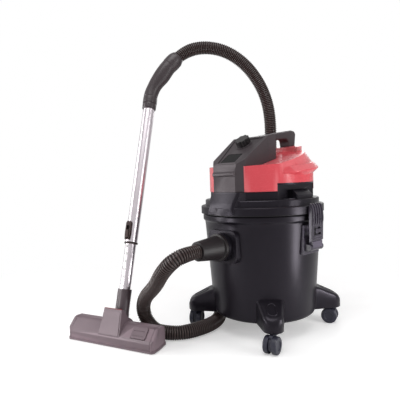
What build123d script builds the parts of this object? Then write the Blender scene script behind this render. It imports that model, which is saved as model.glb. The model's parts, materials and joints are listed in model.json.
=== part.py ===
import math
import os

from build123d import *

# Shop vacuum with hose, telescopic wand and floor tool. Millimetres, floor at z = 0, front towards -Y.

# Drum axis in the part's frame
AXIS_X = 80.32
AXIS_Y = 138.38

# Casters
WHEEL_R = 22.0
WHEEL_OUT = 17.5
WHEEL_IN = 5.1
AXLE_R = 3.0
TRAIL = 11.0
STEM_R = 5.0
RUN = 0.05

# Drum
DRUM_CLEAR = 2.0
DRUM_H = 254.0
DRUM_FOOT_R = 143.0
DRUM_TOP_R = 161.0
BEAD_OUT = 5.5
RIM_H = 27.0
WALL = 3.5
CORNER_R = 14.0
DRUM_Z = 2 * WHEEL_R + DRUM_CLEAR
DRUM_WALL_Z = DRUM_Z + DRUM_H
BEAD_R = DRUM_TOP_R + BEAD_OUT
RIM_Z = DRUM_WALL_Z + RIM_H
RIM_IN_R = DRUM_TOP_R - WALL - 0.3

# Inlet
INLET_DROP = 52.0
PLATE_W = 98.0
PLATE_H = 84.0
PLATE_OUT = 5.0
PORT_R = 33.0
PORT_WALL = 3.7
PORT_DEEP = 44.0
COLLAR_LONG = 11.0
INLET_Z = DRUM_WALL_Z - INLET_DROP
PLATE_Y = DRUM_TOP_R + PLATE_OUT
PORT_BORE_R = PORT_R - PORT_WALL

# Feet
FOOT_REACH = 74.0
FOOT_H = 62.0
FOOT_HALF = 37.0
FOOT_ROUND = 7.0
FOOT_ROOT = DRUM_FOOT_R - 25.0
FOOT_HEEL = DRUM_FOOT_R + 7.0
FOOT_TIP = DRUM_FOOT_R + FOOT_REACH
FOOT_Z = DRUM_Z + 4.0
FOOT_TOP_Z = FOOT_Z + FOOT_H
STEM_AT = FOOT_TIP - 18.0

# Head base
FLANGE_OUT = 5.0
STEP_IN = 12.5
BASE_IN = 15.5
SEAL = 2.5
FLANGE_H = 20.5
SHELF_H = 17.0
BASE_H = 21.5
SIDE_H = 20.5
ALCOVE_HALF = 82.0
ALCOVE_DEEP = 28.5
FLANGE_R = BEAD_R + FLANGE_OUT
STEP_R = FLANGE_R - STEP_IN
BASE_R = STEP_R - BASE_IN
BASE_Z = RIM_Z + SEAL
STEP_Z = BASE_Z + FLANGE_H
SHELF_Z = STEP_Z + SHELF_H
BASE_TOP_Z = SHELF_Z + BASE_H
SIDE_TOP_Z = BASE_TOP_Z + SIDE_H

# Red motor cover
HOOD_OUT = 1.5
HOOD_WALL = 3.0
HOOD_R = BASE_R + HOOD_OUT
HOOD_Z = BASE_TOP_Z + 0.5
SHOULDER_Z = HOOD_Z + 66.0
CREASE_Y = -68.0
CREASE_Z = HOOD_Z + 70.0
DECK_SLOPE = 0.26
DECK_BACK_Y = 75.0
LEDGE_Z = HOOD_Z + 48.0
LEDGE_TILT = 9.0
FACET_SLOPE = 0.55
REAR_RISE = 119.0
REAR_SLOPE = 0.12
WING_OUT = 15.5
WING_OFFSET = 40.0
WING_ANGLE = 18.0
WING_TILT = 5.5
WING_Z = HOOD_Z + 40.0
WING_H = 28.0

# Control column and handle
COL_OUT = 6.0
COL_HALF = 38.6
COL_MID_HALF = 56.5
COL_REAR_HALF = 62.0
COL_REAR_Y = -8.0
COL_SKIN = 3.5
COL_FRONT = HOOD_R + COL_OUT
COL_MID_Y = HOOD_R - 13.5
PANEL_Y0 = -(COL_FRONT - 3.0)
PANEL_Z0 = HOOD_Z + 72.0
PANEL_Y1 = -40.0
PANEL_Z1 = HOOD_Z + 147.0
COL_TOP_Z = PANEL_Z1 + 5.0
KNOB_R = 20.0
KNOB_H = 17.0
WINDOW_W = 52.0
WINDOW_H = 40.0
GRIP_HALF = 17.0

# Latches
LATCH_HALF = 27.0
PIVOT_DROP = 58.0
PIN_R = 3.0
BARREL_R = 8.6
LATCH_GAP = 0.7
PIVOT_X = FLANGE_R - 0.5
PIVOT_Z = DRUM_WALL_Z - PIVOT_DROP
PAD_X = DRUM_TOP_R + 0.3
LEVER_X = FLANGE_R + LATCH_GAP
LEVER_Z = PIVOT_Z + 16.0

# Blower port and cord gland
BLOW_R = 19.5
BLOW_OUT_R = 25.0
BLOW_Z = HOOD_Z + 51.0
GLAND_X = 62.0
GLAND_R = 6.0
GLAND_Z = SHELF_Z + 11.0

# Motor and filter
FAN_R = 58.0
SHAFT_R = 4.0
FILTER_R = 66.0
FILTER_H = 112.0

# Hose
HOSE_R = 18.0

# Floor tool and wand
TOOL_X = -207.0
TOOL_Y = -365.0
TOOL_YAW = 20.0
TOOL_HALF = 138.0
TOOL_REAR_HALF = 132.0
TOOL_FRONT = 38.5
TOOL_REAR = 33.0
TOOL_TOP = 57.0
SOLE_TOP = 7.5
HUMP_TOP = 92.0
NECK_Y = 10.0
NECK_Z = 28.0
LEAN = 16.9
NECK_R = 19.0
NECK_TOP = 108.0
LOWER_R = 15.0
LOWER_TOP = 470.0
UPPER_R = 17.0
UPPER_IN_R = 15.6
UPPER_FROM = 232.0
UPPER_TOP = 650.0
HAND_R = 20.0

def disc(r, z0, z1, x=0.0, y=0.0):
    return Pos(x, y, z0) * Cylinder(r, z1 - z0, align=(Align.CENTER, Align.CENTER, Align.MIN))


def block(x0, x1, y0, y1, z0, z1):
    return Pos(x0, y0, z0) * Box(x1 - x0, y1 - y0, z1 - z0, align=(Align.MIN, Align.MIN, Align.MIN))


def rod_y(r, y0, y1, x=0.0, z=0.0):
    return extrude(Plane((x, y0, z), x_dir=(1, 0, 0), z_dir=(0, 1, 0)) * Circle(r), y1 - y0)


def rod_x(r, x0, x1, y=0.0, z=0.0):
    return extrude(Plane((x0, y, z), x_dir=(0, 1, 0), z_dir=(1, 0, 0)) * Circle(r), x1 - x0)


def turned(points):
    return revolve(Plane.XZ * make_face(Polyline(*points, close=True)), Axis.Z)


def side_shape(points, half):
    return extrude(Plane.YZ * make_face(Polyline(*points, close=True)), half, both=True)


def end_shape(points, half):
    return extrude(Plane.XZ * make_face(Polyline(*points, close=True)), half, both=True)


def plan_shape(points, z0, z1):
    return extrude(Plane.XY.offset(z0) * make_face(Polyline(*points, close=True)), z1 - z0)


def both_sides(points):
    return list(points) + [(-x, y) for x, y in reversed(points)]


nodes = {}


def add(name, shape):
    nodes[name] = shape

# Drum shell
def drum_face(skin):
    low = DRUM_Z + skin
    points = [(0.0, low), (DRUM_FOOT_R - skin, low), (DRUM_TOP_R - skin, DRUM_WALL_Z)]
    if skin:
        points += [(RIM_IN_R, DRUM_WALL_Z + 4.0), (RIM_IN_R, RIM_Z + 1.0), (0.0, RIM_Z + 1.0)]
    else:
        points += [(DRUM_TOP_R + 1.5, DRUM_WALL_Z + 8.0), (BEAD_R, DRUM_WALL_Z + 12.0)]
        points += [(BEAD_R, RIM_Z - 3.0)]
        points += [(BEAD_R - 2.0, RIM_Z), (0.0, RIM_Z)]
    face = Plane.XZ * make_face(Polyline(*points, close=True))
    corner = face.vertices().sort_by_distance((DRUM_FOOT_R - skin, 0.0, low))[0]
    return fillet(corner, CORNER_R - skin)


drum_outer = revolve(drum_face(0.0), Axis.Z)
drum_inner = revolve(drum_face(WALL), Axis.Z)
inlet_hole = rod_y(PORT_R, -PLATE_Y - 14.0, -PLATE_Y + 56.0, 0.0, INLET_Z)
add("drum_shell", drum_outer - drum_inner - inlet_hole)

# Inlet port: saddle plate, tube through the wall and front collar
plate_plane = Plane((0, -PLATE_Y, INLET_Z), x_dir=(1, 0, 0), z_dir=(0, 1, 0))
plate = extrude(plate_plane * RectangleRounded(PLATE_W, PLATE_H, 16.0), 60.0) - drum_outer
plate = plate & block(-PLATE_W, PLATE_W, -PLATE_Y - 4, -PLATE_Y + 46, INLET_Z - PLATE_H, INLET_Z + PLATE_H)
tube = rod_y(PORT_R - 0.3, -PLATE_Y, -PLATE_Y + PORT_DEEP, 0.0, INLET_Z)
collar = rod_y(PORT_R + 4.5, -PLATE_Y - COLLAR_LONG, -PLATE_Y, 0.0, INLET_Z)
bore = rod_y(PORT_BORE_R, -PLATE_Y - 24.0, -PLATE_Y + 56.0, 0.0, INLET_Z)
add("inlet_port", plate + tube + collar - bore)

# Elbow that turns the incoming air down
elbow_y = -PLATE_Y + PORT_DEEP + 0.5
elbow_plane = Plane((0, elbow_y, INLET_Z), x_dir=(1, 0, 0), z_dir=(0, 1, 0))
elbow_ring = elbow_plane * (Circle(PORT_R - 0.3) - Circle(PORT_BORE_R))
elbow_axis = Axis((0, elbow_y, INLET_Z - PORT_R - 3.0), (-1, 0, 0))
add("inlet_deflector", revolve(elbow_ring, elbow_axis, 40))

# Feet
FOOT_SIDE = [
    (FOOT_ROOT, FOOT_Z),
    (FOOT_TIP - 3, FOOT_Z),
    (FOOT_TIP, FOOT_Z + 6),
    (FOOT_TIP - 1, FOOT_Z + 16),
    (FOOT_TIP - 9, FOOT_Z + 26),
    (FOOT_HEEL, FOOT_TOP_Z),
    (FOOT_ROOT, FOOT_TOP_Z + 7),
]
POCKET_SIDE = [
    (FOOT_ROOT, FOOT_Z - 1),
    (FOOT_TIP - 4, FOOT_Z - 1),
    (FOOT_TIP - 4, FOOT_Z + 12),
    (FOOT_TIP - 12, FOOT_Z + 21),
    (FOOT_HEEL, FOOT_TOP_Z - 5),
    (FOOT_ROOT, FOOT_TOP_Z + 1),
]


def foot_plan(skin, tip):
    right = [(FOOT_ROOT, FOOT_HALF - skin), (tip - 21, FOOT_HALF - 8 - skin)]
    right += [(tip - 8, FOOT_HALF - 15 - skin), (tip, FOOT_HALF - 29 - skin)]
    return right + [(r, -y) for r, y in reversed(right)]


def pocket_low():
    lowered = [(r, z - 3.0) for r, z in POCKET_SIDE]
    return end_shape(lowered, FOOT_HALF + 8)


def foot():
    wide = FOOT_HALF + 8
    low = FOOT_Z - 10
    high = FOOT_TOP_Z + 18
    body = end_shape(FOOT_SIDE, wide) & plan_shape(foot_plan(0.0, FOOT_TIP), low, high)
    ridge = [e for e in body.edges() if e.center().Z > FOOT_Z + 25 and abs(e.center().Y) > 12]
    body = fillet(ridge, FOOT_ROUND)
    pocket = end_shape(POCKET_SIDE, wide) & plan_shape(foot_plan(3.8, FOOT_TIP - 4), low, high)
    body = body - pocket
    body = body + (disc(STEM_R + 6.0, FOOT_Z + 10, FOOT_Z + 32, STEM_AT, 0) & end_shape(FOOT_SIDE, wide))
    body = body - disc(STEM_R + RUN, FOOT_Z + 5, FOOT_Z + 25, STEM_AT, 0)
    rise = FOOT_H - 26
    back = FOOT_TIP - 9 - FOOT_HEEL
    face = math.hypot(rise, back)
    slope = Plane((FOOT_TIP - 9 - back / 2, 0, FOOT_Z + 26 + rise / 2), x_dir=(0, 1, 0),
                  z_dir=(rise / face, 0, back / face))
    dish = extrude(slope * SlotOverall(40, 22, rotation=90), 20, both=True)
    floor = extrude(slope.offset(-3.0) * Rectangle(120, 120), 30)
    body = body - (dish & floor)
    body = body + ((dish & end_shape(FOOT_SIDE, wide)) - floor - pocket_low())
    return body - drum_outer


FEET = {"front_right": (-45.0, 150.0), "front_left": (-135.0, 75.0), "rear_right": (45.0, -25.0),
        "rear_left": (135.0, 60.0)}
foot_shape = foot()


# Twin wheel caster: stem at the local origin, wheels trail along -X
def caster_fork():
    half = WHEEL_IN - 0.5
    low = rod_y(WHEEL_R - 5.0, -half, half, -TRAIL, WHEEL_R)
    neck = block(-TRAIL - 8, 7, -half, half, WHEEL_R, FOOT_Z - 3)
    top = disc(STEM_R + 5.5, FOOT_Z - 5, FOOT_Z + 6)
    stem = disc(STEM_R, FOOT_Z, FOOT_Z + 24.5)
    return low + neck + top + stem - rod_y(AXLE_R + RUN, -10, 10, -TRAIL, WHEEL_R)


def caster_wheels():
    one = rod_y(WHEEL_R, WHEEL_IN, WHEEL_OUT, -TRAIL, WHEEL_R)
    rim = [e for e in one.edges().filter_by(GeomType.CIRCLE) if e.center().Y > WHEEL_IN + 2]
    one = fillet(rim, 3.5)
    one = one - rod_y(WHEEL_R - 10.0, WHEEL_OUT - 2, WHEEL_OUT + 3, -TRAIL, WHEEL_R)
    axle = rod_y(AXLE_R, -WHEEL_IN - 1, WHEEL_IN + 1, -TRAIL, WHEEL_R)
    return one + mirror(one, Plane.XZ) + axle


fork_shape = caster_fork()
wheel_shape = caster_wheels()
for name, (angle, swivel) in FEET.items():
    add("foot_" + name, Rot(0, 0, angle) * foot_shape)
    at = Rot(0, 0, angle) * Pos(STEM_AT, 0, 0) * Rot(0, 0, swivel)
    add("caster_fork_" + name, at * fork_shape)
    add("caster_wheels_" + name, at * wheel_shape)


# Latches and their brackets, made on the +X side
def latch_bracket():
    ear_in = LATCH_HALF - 4.0
    ear_out = LATCH_HALF + 1.5
    pad = block(FOOT_ROOT, PAD_X, -LATCH_HALF - 9, LATCH_HALF + 9, PIVOT_Z - 18, DRUM_WALL_Z) - drum_outer
    ears = block(PAD_X - 11, PIVOT_X, ear_in, ear_out, PIVOT_Z - 9, PIVOT_Z + 9)
    ears = ears + rod_y(9.0, ear_in, ear_out, PIVOT_X, PIVOT_Z)
    ears = ears + mirror(ears, Plane.XZ)
    pin = rod_y(PIN_R, -ear_out, ear_out, PIVOT_X, PIVOT_Z)
    return pad + (ears - drum_outer) + pin


def latch_lever():
    outline = [
        (LEVER_X, LEVER_Z),
        (LEVER_X + 7.8, LEVER_Z),
        (LEVER_X + 8.8, PIVOT_Z + 64),
        (LEVER_X + 10.3, PIVOT_Z + 74),
        (LEVER_X + 9.3, STEP_Z - 12),
        (LEVER_X + 6.3, STEP_Z - 1),
        (LEVER_X + 1.8, STEP_Z + 3),
        (LEVER_X, STEP_Z + 1),
    ]
    body = end_shape(outline, LATCH_HALF)
    opening = LATCH_HALF - 13
    body = body - block(LEVER_X - 10, LEVER_X + 18, -opening, opening, PIVOT_Z + 34, PIVOT_Z + 63)
    for k in range(3):
        z = PIVOT_Z + 76.0 + 9.0 * k
        body = body - block(LEVER_X + 8.0, LEVER_X + 18, -LATCH_HALF + 3, LATCH_HALF - 3, z, z + 4.0)
    return body


def latch_hinge():
    half = LATCH_HALF - 4.7
    barrel = rod_y(BARREL_R, -half, half, PIVOT_X, PIVOT_Z)
    web = block(PIVOT_X - 3.0, LEVER_X + 7.8, -half, half, PIVOT_Z, LEVER_Z)
    return barrel + web - rod_y(PIN_R + RUN, -half - 8, half + 8, PIVOT_X, PIVOT_Z)


latch_pieces = (
    ("latch_bracket_", latch_bracket),
    ("latch_", latch_lever),
    ("latch_hinge_", latch_hinge),
)
for side_name, build in latch_pieces:
    right = build()
    add(side_name + "right", right)
    add(side_name + "left", mirror(right, Plane.YZ))

# Head base: plate, flange, step and wall
base = turned([
    (24, BASE_Z),
    (FLANGE_R, BASE_Z),
    (FLANGE_R, STEP_Z - 2),
    (FLANGE_R - 2, STEP_Z),
    (STEP_R, STEP_Z + 0.5),
    (STEP_R, SHELF_Z - 2),
    (STEP_R - 2, SHELF_Z),
    (BASE_R, SHELF_Z),
    (BASE_R, BASE_TOP_Z),
    (BASE_R - 3, BASE_TOP_Z),
    (BASE_R - 3, SHELF_Z - 3.5),
    (STEP_R - 3.5, SHELF_Z - 3.5),
    (STEP_R - 3.5, STEP_Z - 3),
    (FLANGE_R - 3.5, STEP_Z - 3),
    (FLANGE_R - 3.5, BASE_Z + 4),
    (24, BASE_Z + 4),
])
plug = disc(RIM_IN_R - 1.0, BASE_Z - 11.5, BASE_Z) - disc(RIM_IN_R - 4.7, BASE_Z - 12.5, BASE_Z + 1)
base = base + plug
ALCOVE_X = BASE_R - ALCOVE_DEEP
OUT_X = BASE_R + 2.5
liner = block(ALCOVE_X, OUT_X, -ALCOVE_HALF, ALCOVE_HALF, SHELF_Z - 3.5, SIDE_TOP_Z)
liner = liner & disc(BASE_R, STEP_Z, SIDE_TOP_Z + 11)
pocket = block(ALCOVE_X + 3, OUT_X + 14, -ALCOVE_HALF + 2, ALCOVE_HALF - 2, SHELF_Z + 2, SIDE_TOP_Z - 4)
CATCH_SIDE = [(ALCOVE_X + 1, SHELF_Z), (OUT_X, SHELF_Z), (OUT_X, SHELF_Z + 9), (OUT_X - 15, SHELF_Z + 24),
              (ALCOVE_X + 1, SHELF_Z + 24)]
catch = end_shape(CATCH_SIDE, LATCH_HALF + 7)
base = base + liner + mirror(liner, Plane.YZ)
base = base - pocket - mirror(pocket, Plane.YZ)
base = base + catch + mirror(catch, Plane.YZ)

BULGE_SIDE = [
    (-FLANGE_R + 1, BASE_Z + 2.5),
    (-FLANGE_R + 1, STEP_Z - 1),
    (-FLANGE_R + 5.5, SHELF_Z - 5),
    (-COL_FRONT - 3, BASE_TOP_Z - 4.5),
    (-COL_FRONT - 1.5, BASE_TOP_Z),
    (-BASE_R + 15.5, BASE_TOP_Z),
    (-BASE_R + 15.5, BASE_Z + 2.5),
]
BULGE_PLAN = both_sides([
    (COL_HALF + 3.4, -FLANGE_R - 1.5),
    (COL_MID_HALF + 0.5, -COL_MID_Y + 0.5),
    (COL_MID_HALF + 0.5, -BASE_R + 18.5),
])
base = base + (side_shape(BULGE_SIDE, COL_MID_HALF + 4) & plan_shape(BULGE_PLAN, BASE_Z, BASE_TOP_Z + 10))
GLAND_Y = math.sqrt(BASE_R ** 2 - (GLAND_X - GLAND_R - 3.0) ** 2) + 1.2
base = base - rod_y(GLAND_R + 0.2, GLAND_Y - 34, GLAND_Y + 36, GLAND_X, GLAND_Z)
add("head_base", base)

# Gasket between rim and head
add("lid_gasket", disc(BEAD_R - 3.0, RIM_Z, BASE_Z) - disc(RIM_IN_R + 0.3, RIM_Z - 1, BASE_Z + 1))


# Red motor cover: drum shaped front, sloping deck, leaning facet behind the crease, raised rear
# and side wings
def deck_z(y):
    return CREASE_Z + DECK_SLOPE * (y - CREASE_Y)


def rear_z(y):
    return HOOD_Z + REAR_RISE + REAR_SLOPE * (y - DECK_BACK_Y)


def hood_solid(skin):
    r = HOOD_R - skin
    low = HOOD_Z - 2 * skin
    deck = [
        (-HOOD_R - 9, low),
        (-HOOD_R - 9, SHOULDER_Z - skin),
        (-HOOD_R + 13, SHOULDER_Z - skin),
        (CREASE_Y, CREASE_Z - skin),
        (DECK_BACK_Y, deck_z(DECK_BACK_Y) - skin),
        (HOOD_R + 9, deck_z(DECK_BACK_Y) + 2.5 - skin),
        (HOOD_R + 9, low),
    ]
    can = disc(r, low, SHOULDER_Z + 120) & side_shape(deck, HOOD_R + 30)
    tall = 120.0
    cone = turned([(0, -200), (2 * HOOD_R, -200), (2 * HOOD_R, 0), (r, 0),
                   (r - FACET_SLOPE * tall, tall), (0, tall)])
    lean = Pos(0, CREASE_Y, LEDGE_Z - skin) * Rot(LEDGE_TILT, 0, 0) * Pos(0, -CREASE_Y, 0) * cone
    wide = HOOD_R + 30
    front = block(-wide, wide, -wide, CREASE_Y - skin, low - 5, SHOULDER_Z + 130)
    return (can & front) + ((can - front) & lean)


def rear_crescent():
    outer = Ellipse(HOOD_R - 50.0, HOOD_R + 7.0)
    inner = Pos(0, -20.0) * Ellipse(HOOD_R - 10.0, HOOD_R - 48.0)
    slab = extrude(Plane.XY.offset(LEDGE_Z) * (outer - inner), 100)
    profile = [(0, LEDGE_Z), (0, rear_z(0)), (HOOD_R + 20, rear_z(HOOD_R + 20)), (HOOD_R + 20, LEDGE_Z)]
    slab = slab & side_shape(profile, HOOD_R)
    foot_z = LEDGE_Z + 10
    return slab & turned([(0, foot_z), (HOOD_R - 4, foot_z), (HOOD_R + 7, foot_z + 48),
                          (HOOD_R + 7, foot_z + 130), (0, foot_z + 130)])


def hood_wing():
    tip = HOOD_R + WING_OUT - WING_OFFSET
    line = [(tip - 48, WING_H), (tip - 11.5, WING_H), (tip, WING_H / 2 + 0.5),
            (tip, WING_H / 2 - 2), (tip - 13.5, 0), (tip - 48, 0)]
    a = math.radians(WING_ANGLE)
    at = Pos(WING_OFFSET * math.cos(a), WING_OFFSET * math.sin(a), WING_Z) * Rot(WING_TILT, 0, 0)
    return at * turned(line)


hood_inner = hood_solid(HOOD_WALL)
wing = hood_wing()
hood = hood_solid(0.0) + rear_crescent() + wing + mirror(wing, Plane.YZ) - hood_inner
side_cut = block(100, HOOD_R + 35, -ALCOVE_HALF - 0.5, ALCOVE_HALF + 0.5, HOOD_Z - 9, SIDE_TOP_Z + 0.3)
hood = hood - side_cut - mirror(side_cut, Plane.YZ)


def column_plan(gap, front):
    return both_sides([
        (COL_HALF + gap, -front),
        (COL_HALF + gap, -COL_FRONT),
        (COL_MID_HALF + gap, -COL_MID_Y - gap / 2),
        (COL_REAR_HALF + gap, -40),
        (COL_REAR_HALF + gap, COL_REAR_Y + gap),
    ])


hood = hood - plan_shape(column_plan(0.4, COL_FRONT + 19), HOOD_Z - 9, COL_TOP_Z + 19)
for k in range(4):
    for side in (1, -1):
        slot = block(-2.0, 2.0, HOOD_R - 15, HOOD_R + 5, HOOD_Z + 19, HOOD_Z + 67)
        hood = hood - Rot(0, 0, side * (13.5 + 4.5 * k)) * slot
hood = hood - rod_y(BLOW_OUT_R, HOOD_R - 25, HOOD_R + 15, 0, BLOW_Z)
add("motor_cover", hood)

# Control column
COLUMN_SIDE = [
    (-COL_FRONT, HOOD_Z),
    (-COL_FRONT, HOOD_Z + 41),
    (-COL_FRONT - 4, HOOD_Z + 44),
    (-COL_FRONT - 4, HOOD_Z + 49),
    (-COL_FRONT - 0.5, HOOD_Z + 53),
    (PANEL_Y0, PANEL_Z0),
    (PANEL_Y1, PANEL_Z1),
    (COL_REAR_Y, COL_TOP_Z),
    (COL_REAR_Y, HOOD_Z + 73),
    (-60, HOOD_Z + 51),
    (-HOOD_R + 20, HOOD_Z),
]
HOLLOW_SIDE = [
    (-COL_FRONT + COL_SKIN, HOOD_Z - 1),
    (-COL_FRONT + COL_SKIN, HOOD_Z + 51),
    (PANEL_Y0 + 4, PANEL_Z0 - 5),
    (PANEL_Y1 + 1, PANEL_Z1 - 7.5),
    (COL_REAR_Y - COL_SKIN, COL_TOP_Z - 7),
    (COL_REAR_Y - COL_SKIN, HOOD_Z + 66),
    (-60, HOOD_Z + 43),
    (-HOOD_R + 20, HOOD_Z - 10),
]
HOLLOW_PLAN = both_sides([
    (COL_HALF - COL_SKIN, -COL_FRONT + 3),
    (COL_MID_HALF - COL_SKIN, -COL_MID_Y + 1.5),
    (COL_REAR_HALF - COL_SKIN, -40),
    (COL_REAR_HALF - COL_SKIN, COL_REAR_Y - 3),
])
column_outline = column_plan(0.0, COL_FRONT + 19)
column = side_shape(COLUMN_SIDE, COL_REAR_HALF + 8) & plan_shape(column_outline, HOOD_Z - 9, COL_TOP_Z + 19)
hollow = side_shape(HOLLOW_SIDE, COL_REAR_HALF + 8) & plan_shape(HOLLOW_PLAN, HOOD_Z - 9, COL_TOP_Z + 19)
column = column - hollow
run = math.hypot(PANEL_Y1 - PANEL_Y0, PANEL_Z1 - PANEL_Z0)
up_y = (PANEL_Y1 - PANEL_Y0) / run
up_z = (PANEL_Z1 - PANEL_Z0) / run
panel = Plane((0, PANEL_Y0, PANEL_Z0), x_dir=(1, 0, 0), z_dir=(0, -up_z, up_y))
RECESS = both_sides([(COL_HALF - 7.6, 7), (COL_REAR_HALF - 11, run - 7.5)])
recess = extrude(panel * make_face(Polyline(*RECESS, close=True)), 10, both=True)
column = column - (recess & extrude(panel.offset(-2.0) * Rectangle(300, 300), 30))
window_plane = Plane(panel.from_local_coords((0, 33, -3.5)), x_dir=(1, 0, 0), z_dir=panel.z_dir)
column = column - extrude(window_plane * RectangleRounded(WINDOW_W, WINDOW_H, 3), 6)
knob_plane = Plane(panel.from_local_coords((0, run - 33.5, -2.0)), x_dir=(1, 0, 0), z_dir=panel.z_dir)
SWITCH_R = 4.5
column = column - extrude(knob_plane * Circle(SWITCH_R), 30, both=True)
add("control_column", column)
add("panel_window", extrude(window_plane * RectangleRounded(WINDOW_W, WINDOW_H, 3), 0.9))

# Bezel and knob of the rotary switch
add("knob_bezel", extrude(knob_plane * (Circle(KNOB_R + 3.5) - Circle(SWITCH_R)), 2.0))
knob = extrude(knob_plane.offset(2.4) * Circle(KNOB_R), KNOB_H)
for k in range(8):
    a = math.radians(45.0 * k + 22.5)
    spot = Pos(math.cos(a) * (KNOB_R + 3.0), math.sin(a) * (KNOB_R + 3.0))
    knob = knob - extrude(knob_plane.offset(2.0) * spot * Circle(5.6), KNOB_H + 5)
knob = knob + extrude(knob_plane.offset(-14.0) * Circle(SWITCH_R - RUN), 18)
add("power_knob", knob)
add("rotary_switch", extrude(knob_plane.offset(-14.2) * Rectangle(26, 26), -16))

# Carry handle between the column's back and the raised rear of the cover
POST_BACK = HOOD_R + 3.5
POST_FRONT = HOOD_R - 27.0
HANDLE_SIDE = [
    (COL_REAR_Y, COL_TOP_Z),
    (20, COL_TOP_Z + 5),
    (POST_BACK - 16, COL_TOP_Z + 22),
    (POST_BACK, COL_TOP_Z + 20),
    (POST_BACK + 6, COL_TOP_Z + 11),
    (POST_BACK + 1, rear_z(POST_BACK + 1)),
    (POST_FRONT, rear_z(POST_FRONT)),
    (POST_FRONT - 3, COL_TOP_Z - 14),
    (POST_FRONT - 13, COL_TOP_Z - 6),
    (40, COL_TOP_Z - 13),
    (12, COL_TOP_Z - 18),
    (COL_REAR_Y, COL_TOP_Z - 35),
]
handle = side_shape(HANDLE_SIDE, GRIP_HALF)
long_edges = [e for e in handle.edges() if abs(abs(e.center().X) - GRIP_HALF) < 0.1]
long_edges = [e for e in long_edges if e.center().Z > COL_TOP_Z - 17.5 and e.center().Y > COL_REAR_Y + 1]
handle = chamfer(long_edges, 3.5)
add("carry_handle", handle)

# Blower port and cord gland
port = rod_y(BLOW_OUT_R, HOOD_R - 14, HOOD_R + 22, 0, BLOW_Z)
port = port - rod_y(BLOW_R, HOOD_R - 15, HOOD_R + 23, 0, BLOW_Z)
add("blower_port", port)
gland = rod_y(GLAND_R, GLAND_Y - 12.5, GLAND_Y + 27.5, GLAND_X, GLAND_Z)
gland = gland + rod_y(GLAND_R + 3.0, GLAND_Y, GLAND_Y + 6.5, GLAND_X, GLAND_Z)
add("cord_gland", gland - rod_y(GLAND_R - 2.4, GLAND_Y - 15, GLAND_Y + 30, GLAND_X, GLAND_Z))

# Motor, fan and filter inside the head
FAN_Z = BASE_Z + 7.5
MOTOR_Z = FAN_Z + 35.0
add("motor_gasket", disc(52, BASE_Z + 4, FAN_Z) - disc(30, BASE_Z, FAN_Z + 3))
case_r = FAN_R + 8
add("fan_housing", turned([(24, FAN_Z), (case_r, FAN_Z), (case_r, MOTOR_Z), (case_r - 2, MOTOR_Z),
                           (case_r - 2, FAN_Z + 2), (24, FAN_Z + 2)]))
hole_r = SHAFT_R + RUN
add("motor_housing", turned([(SHAFT_R + 5, MOTOR_Z), (case_r, MOTOR_Z), (case_r, MOTOR_Z + 3),
                             (46, MOTOR_Z + 3), (46, MOTOR_Z + 58), (hole_r, MOTOR_Z + 58),
                             (hole_r, MOTOR_Z + 53), (43, MOTOR_Z + 53), (43, MOTOR_Z + 3),
                             (SHAFT_R + 5, MOTOR_Z + 3)]))
add("motor_rotor", disc(SHAFT_R, FAN_Z + 5, MOTOR_Z + 64) + disc(32, MOTOR_Z + 10, MOTOR_Z + 44))
hub = disc(SHAFT_R + 6, FAN_Z + 5, FAN_Z + 31) - disc(SHAFT_R, FAN_Z + 3, FAN_Z + 33)
fan = disc(FAN_R, FAN_Z + 27, FAN_Z + 29) - disc(SHAFT_R + 5, FAN_Z + 23, FAN_Z + 33) + hub
blade_room = disc(FAN_R, FAN_Z + 3, FAN_Z + 27.5) - disc(SHAFT_R + 5.5, FAN_Z - 7, FAN_Z + 33)
for k in range(8):
    blade = Rot(0, 0, 45.0 * k) * Pos(FAN_R - 28, 10, FAN_Z + 16) * Rot(0, 0, 28) * Box(46, 1.6, 22)
    fan = fan + (blade & blade_room)
add("impeller", fan)
CAGE_R = FILTER_R - 20
CAGE_Z = BASE_Z - FILTER_H - 3.5
cage = disc(CAGE_R + 12, BASE_Z - 3.5, BASE_Z) - disc(34, BASE_Z - 9.5, BASE_Z + 5.5)
cage = cage + (disc(CAGE_R, CAGE_Z, CAGE_Z + 3) - disc(10, CAGE_Z - 4, CAGE_Z + 6))
for k in range(8):
    cage = cage + Rot(0, 0, 45.0 * k) * block(CAGE_R - 3.5, CAGE_R, -4, 4, CAGE_Z, BASE_Z - 1.5)
add("filter_cage", cage)
float_body = disc(30, CAGE_Z + 3, CAGE_Z + 46)
float_body = fillet(float_body.edges().sort_by(Axis.Z)[-1], 10)
add("float_cup", float_body)
pleats = []
for k in range(32):
    a = math.radians(360.0 * k / 32)
    b = math.radians(360.0 * (k + 0.5) / 32)
    pleats.append((FILTER_R * math.cos(a), FILTER_R * math.sin(a)))
    pleats.append(((FILTER_R - 10) * math.cos(b), (FILTER_R - 10) * math.sin(b)))
add("filter_sleeve", plan_shape(pleats, CAGE_Z, BASE_Z - 3.7) - disc(CAGE_R + 1, CAGE_Z - 14, BASE_Z))
add("filter_cap", disc(FILTER_R + 2, CAGE_Z - 6, CAGE_Z - 0.2) + disc(14, CAGE_Z - 18, CAGE_Z - 5))

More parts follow.
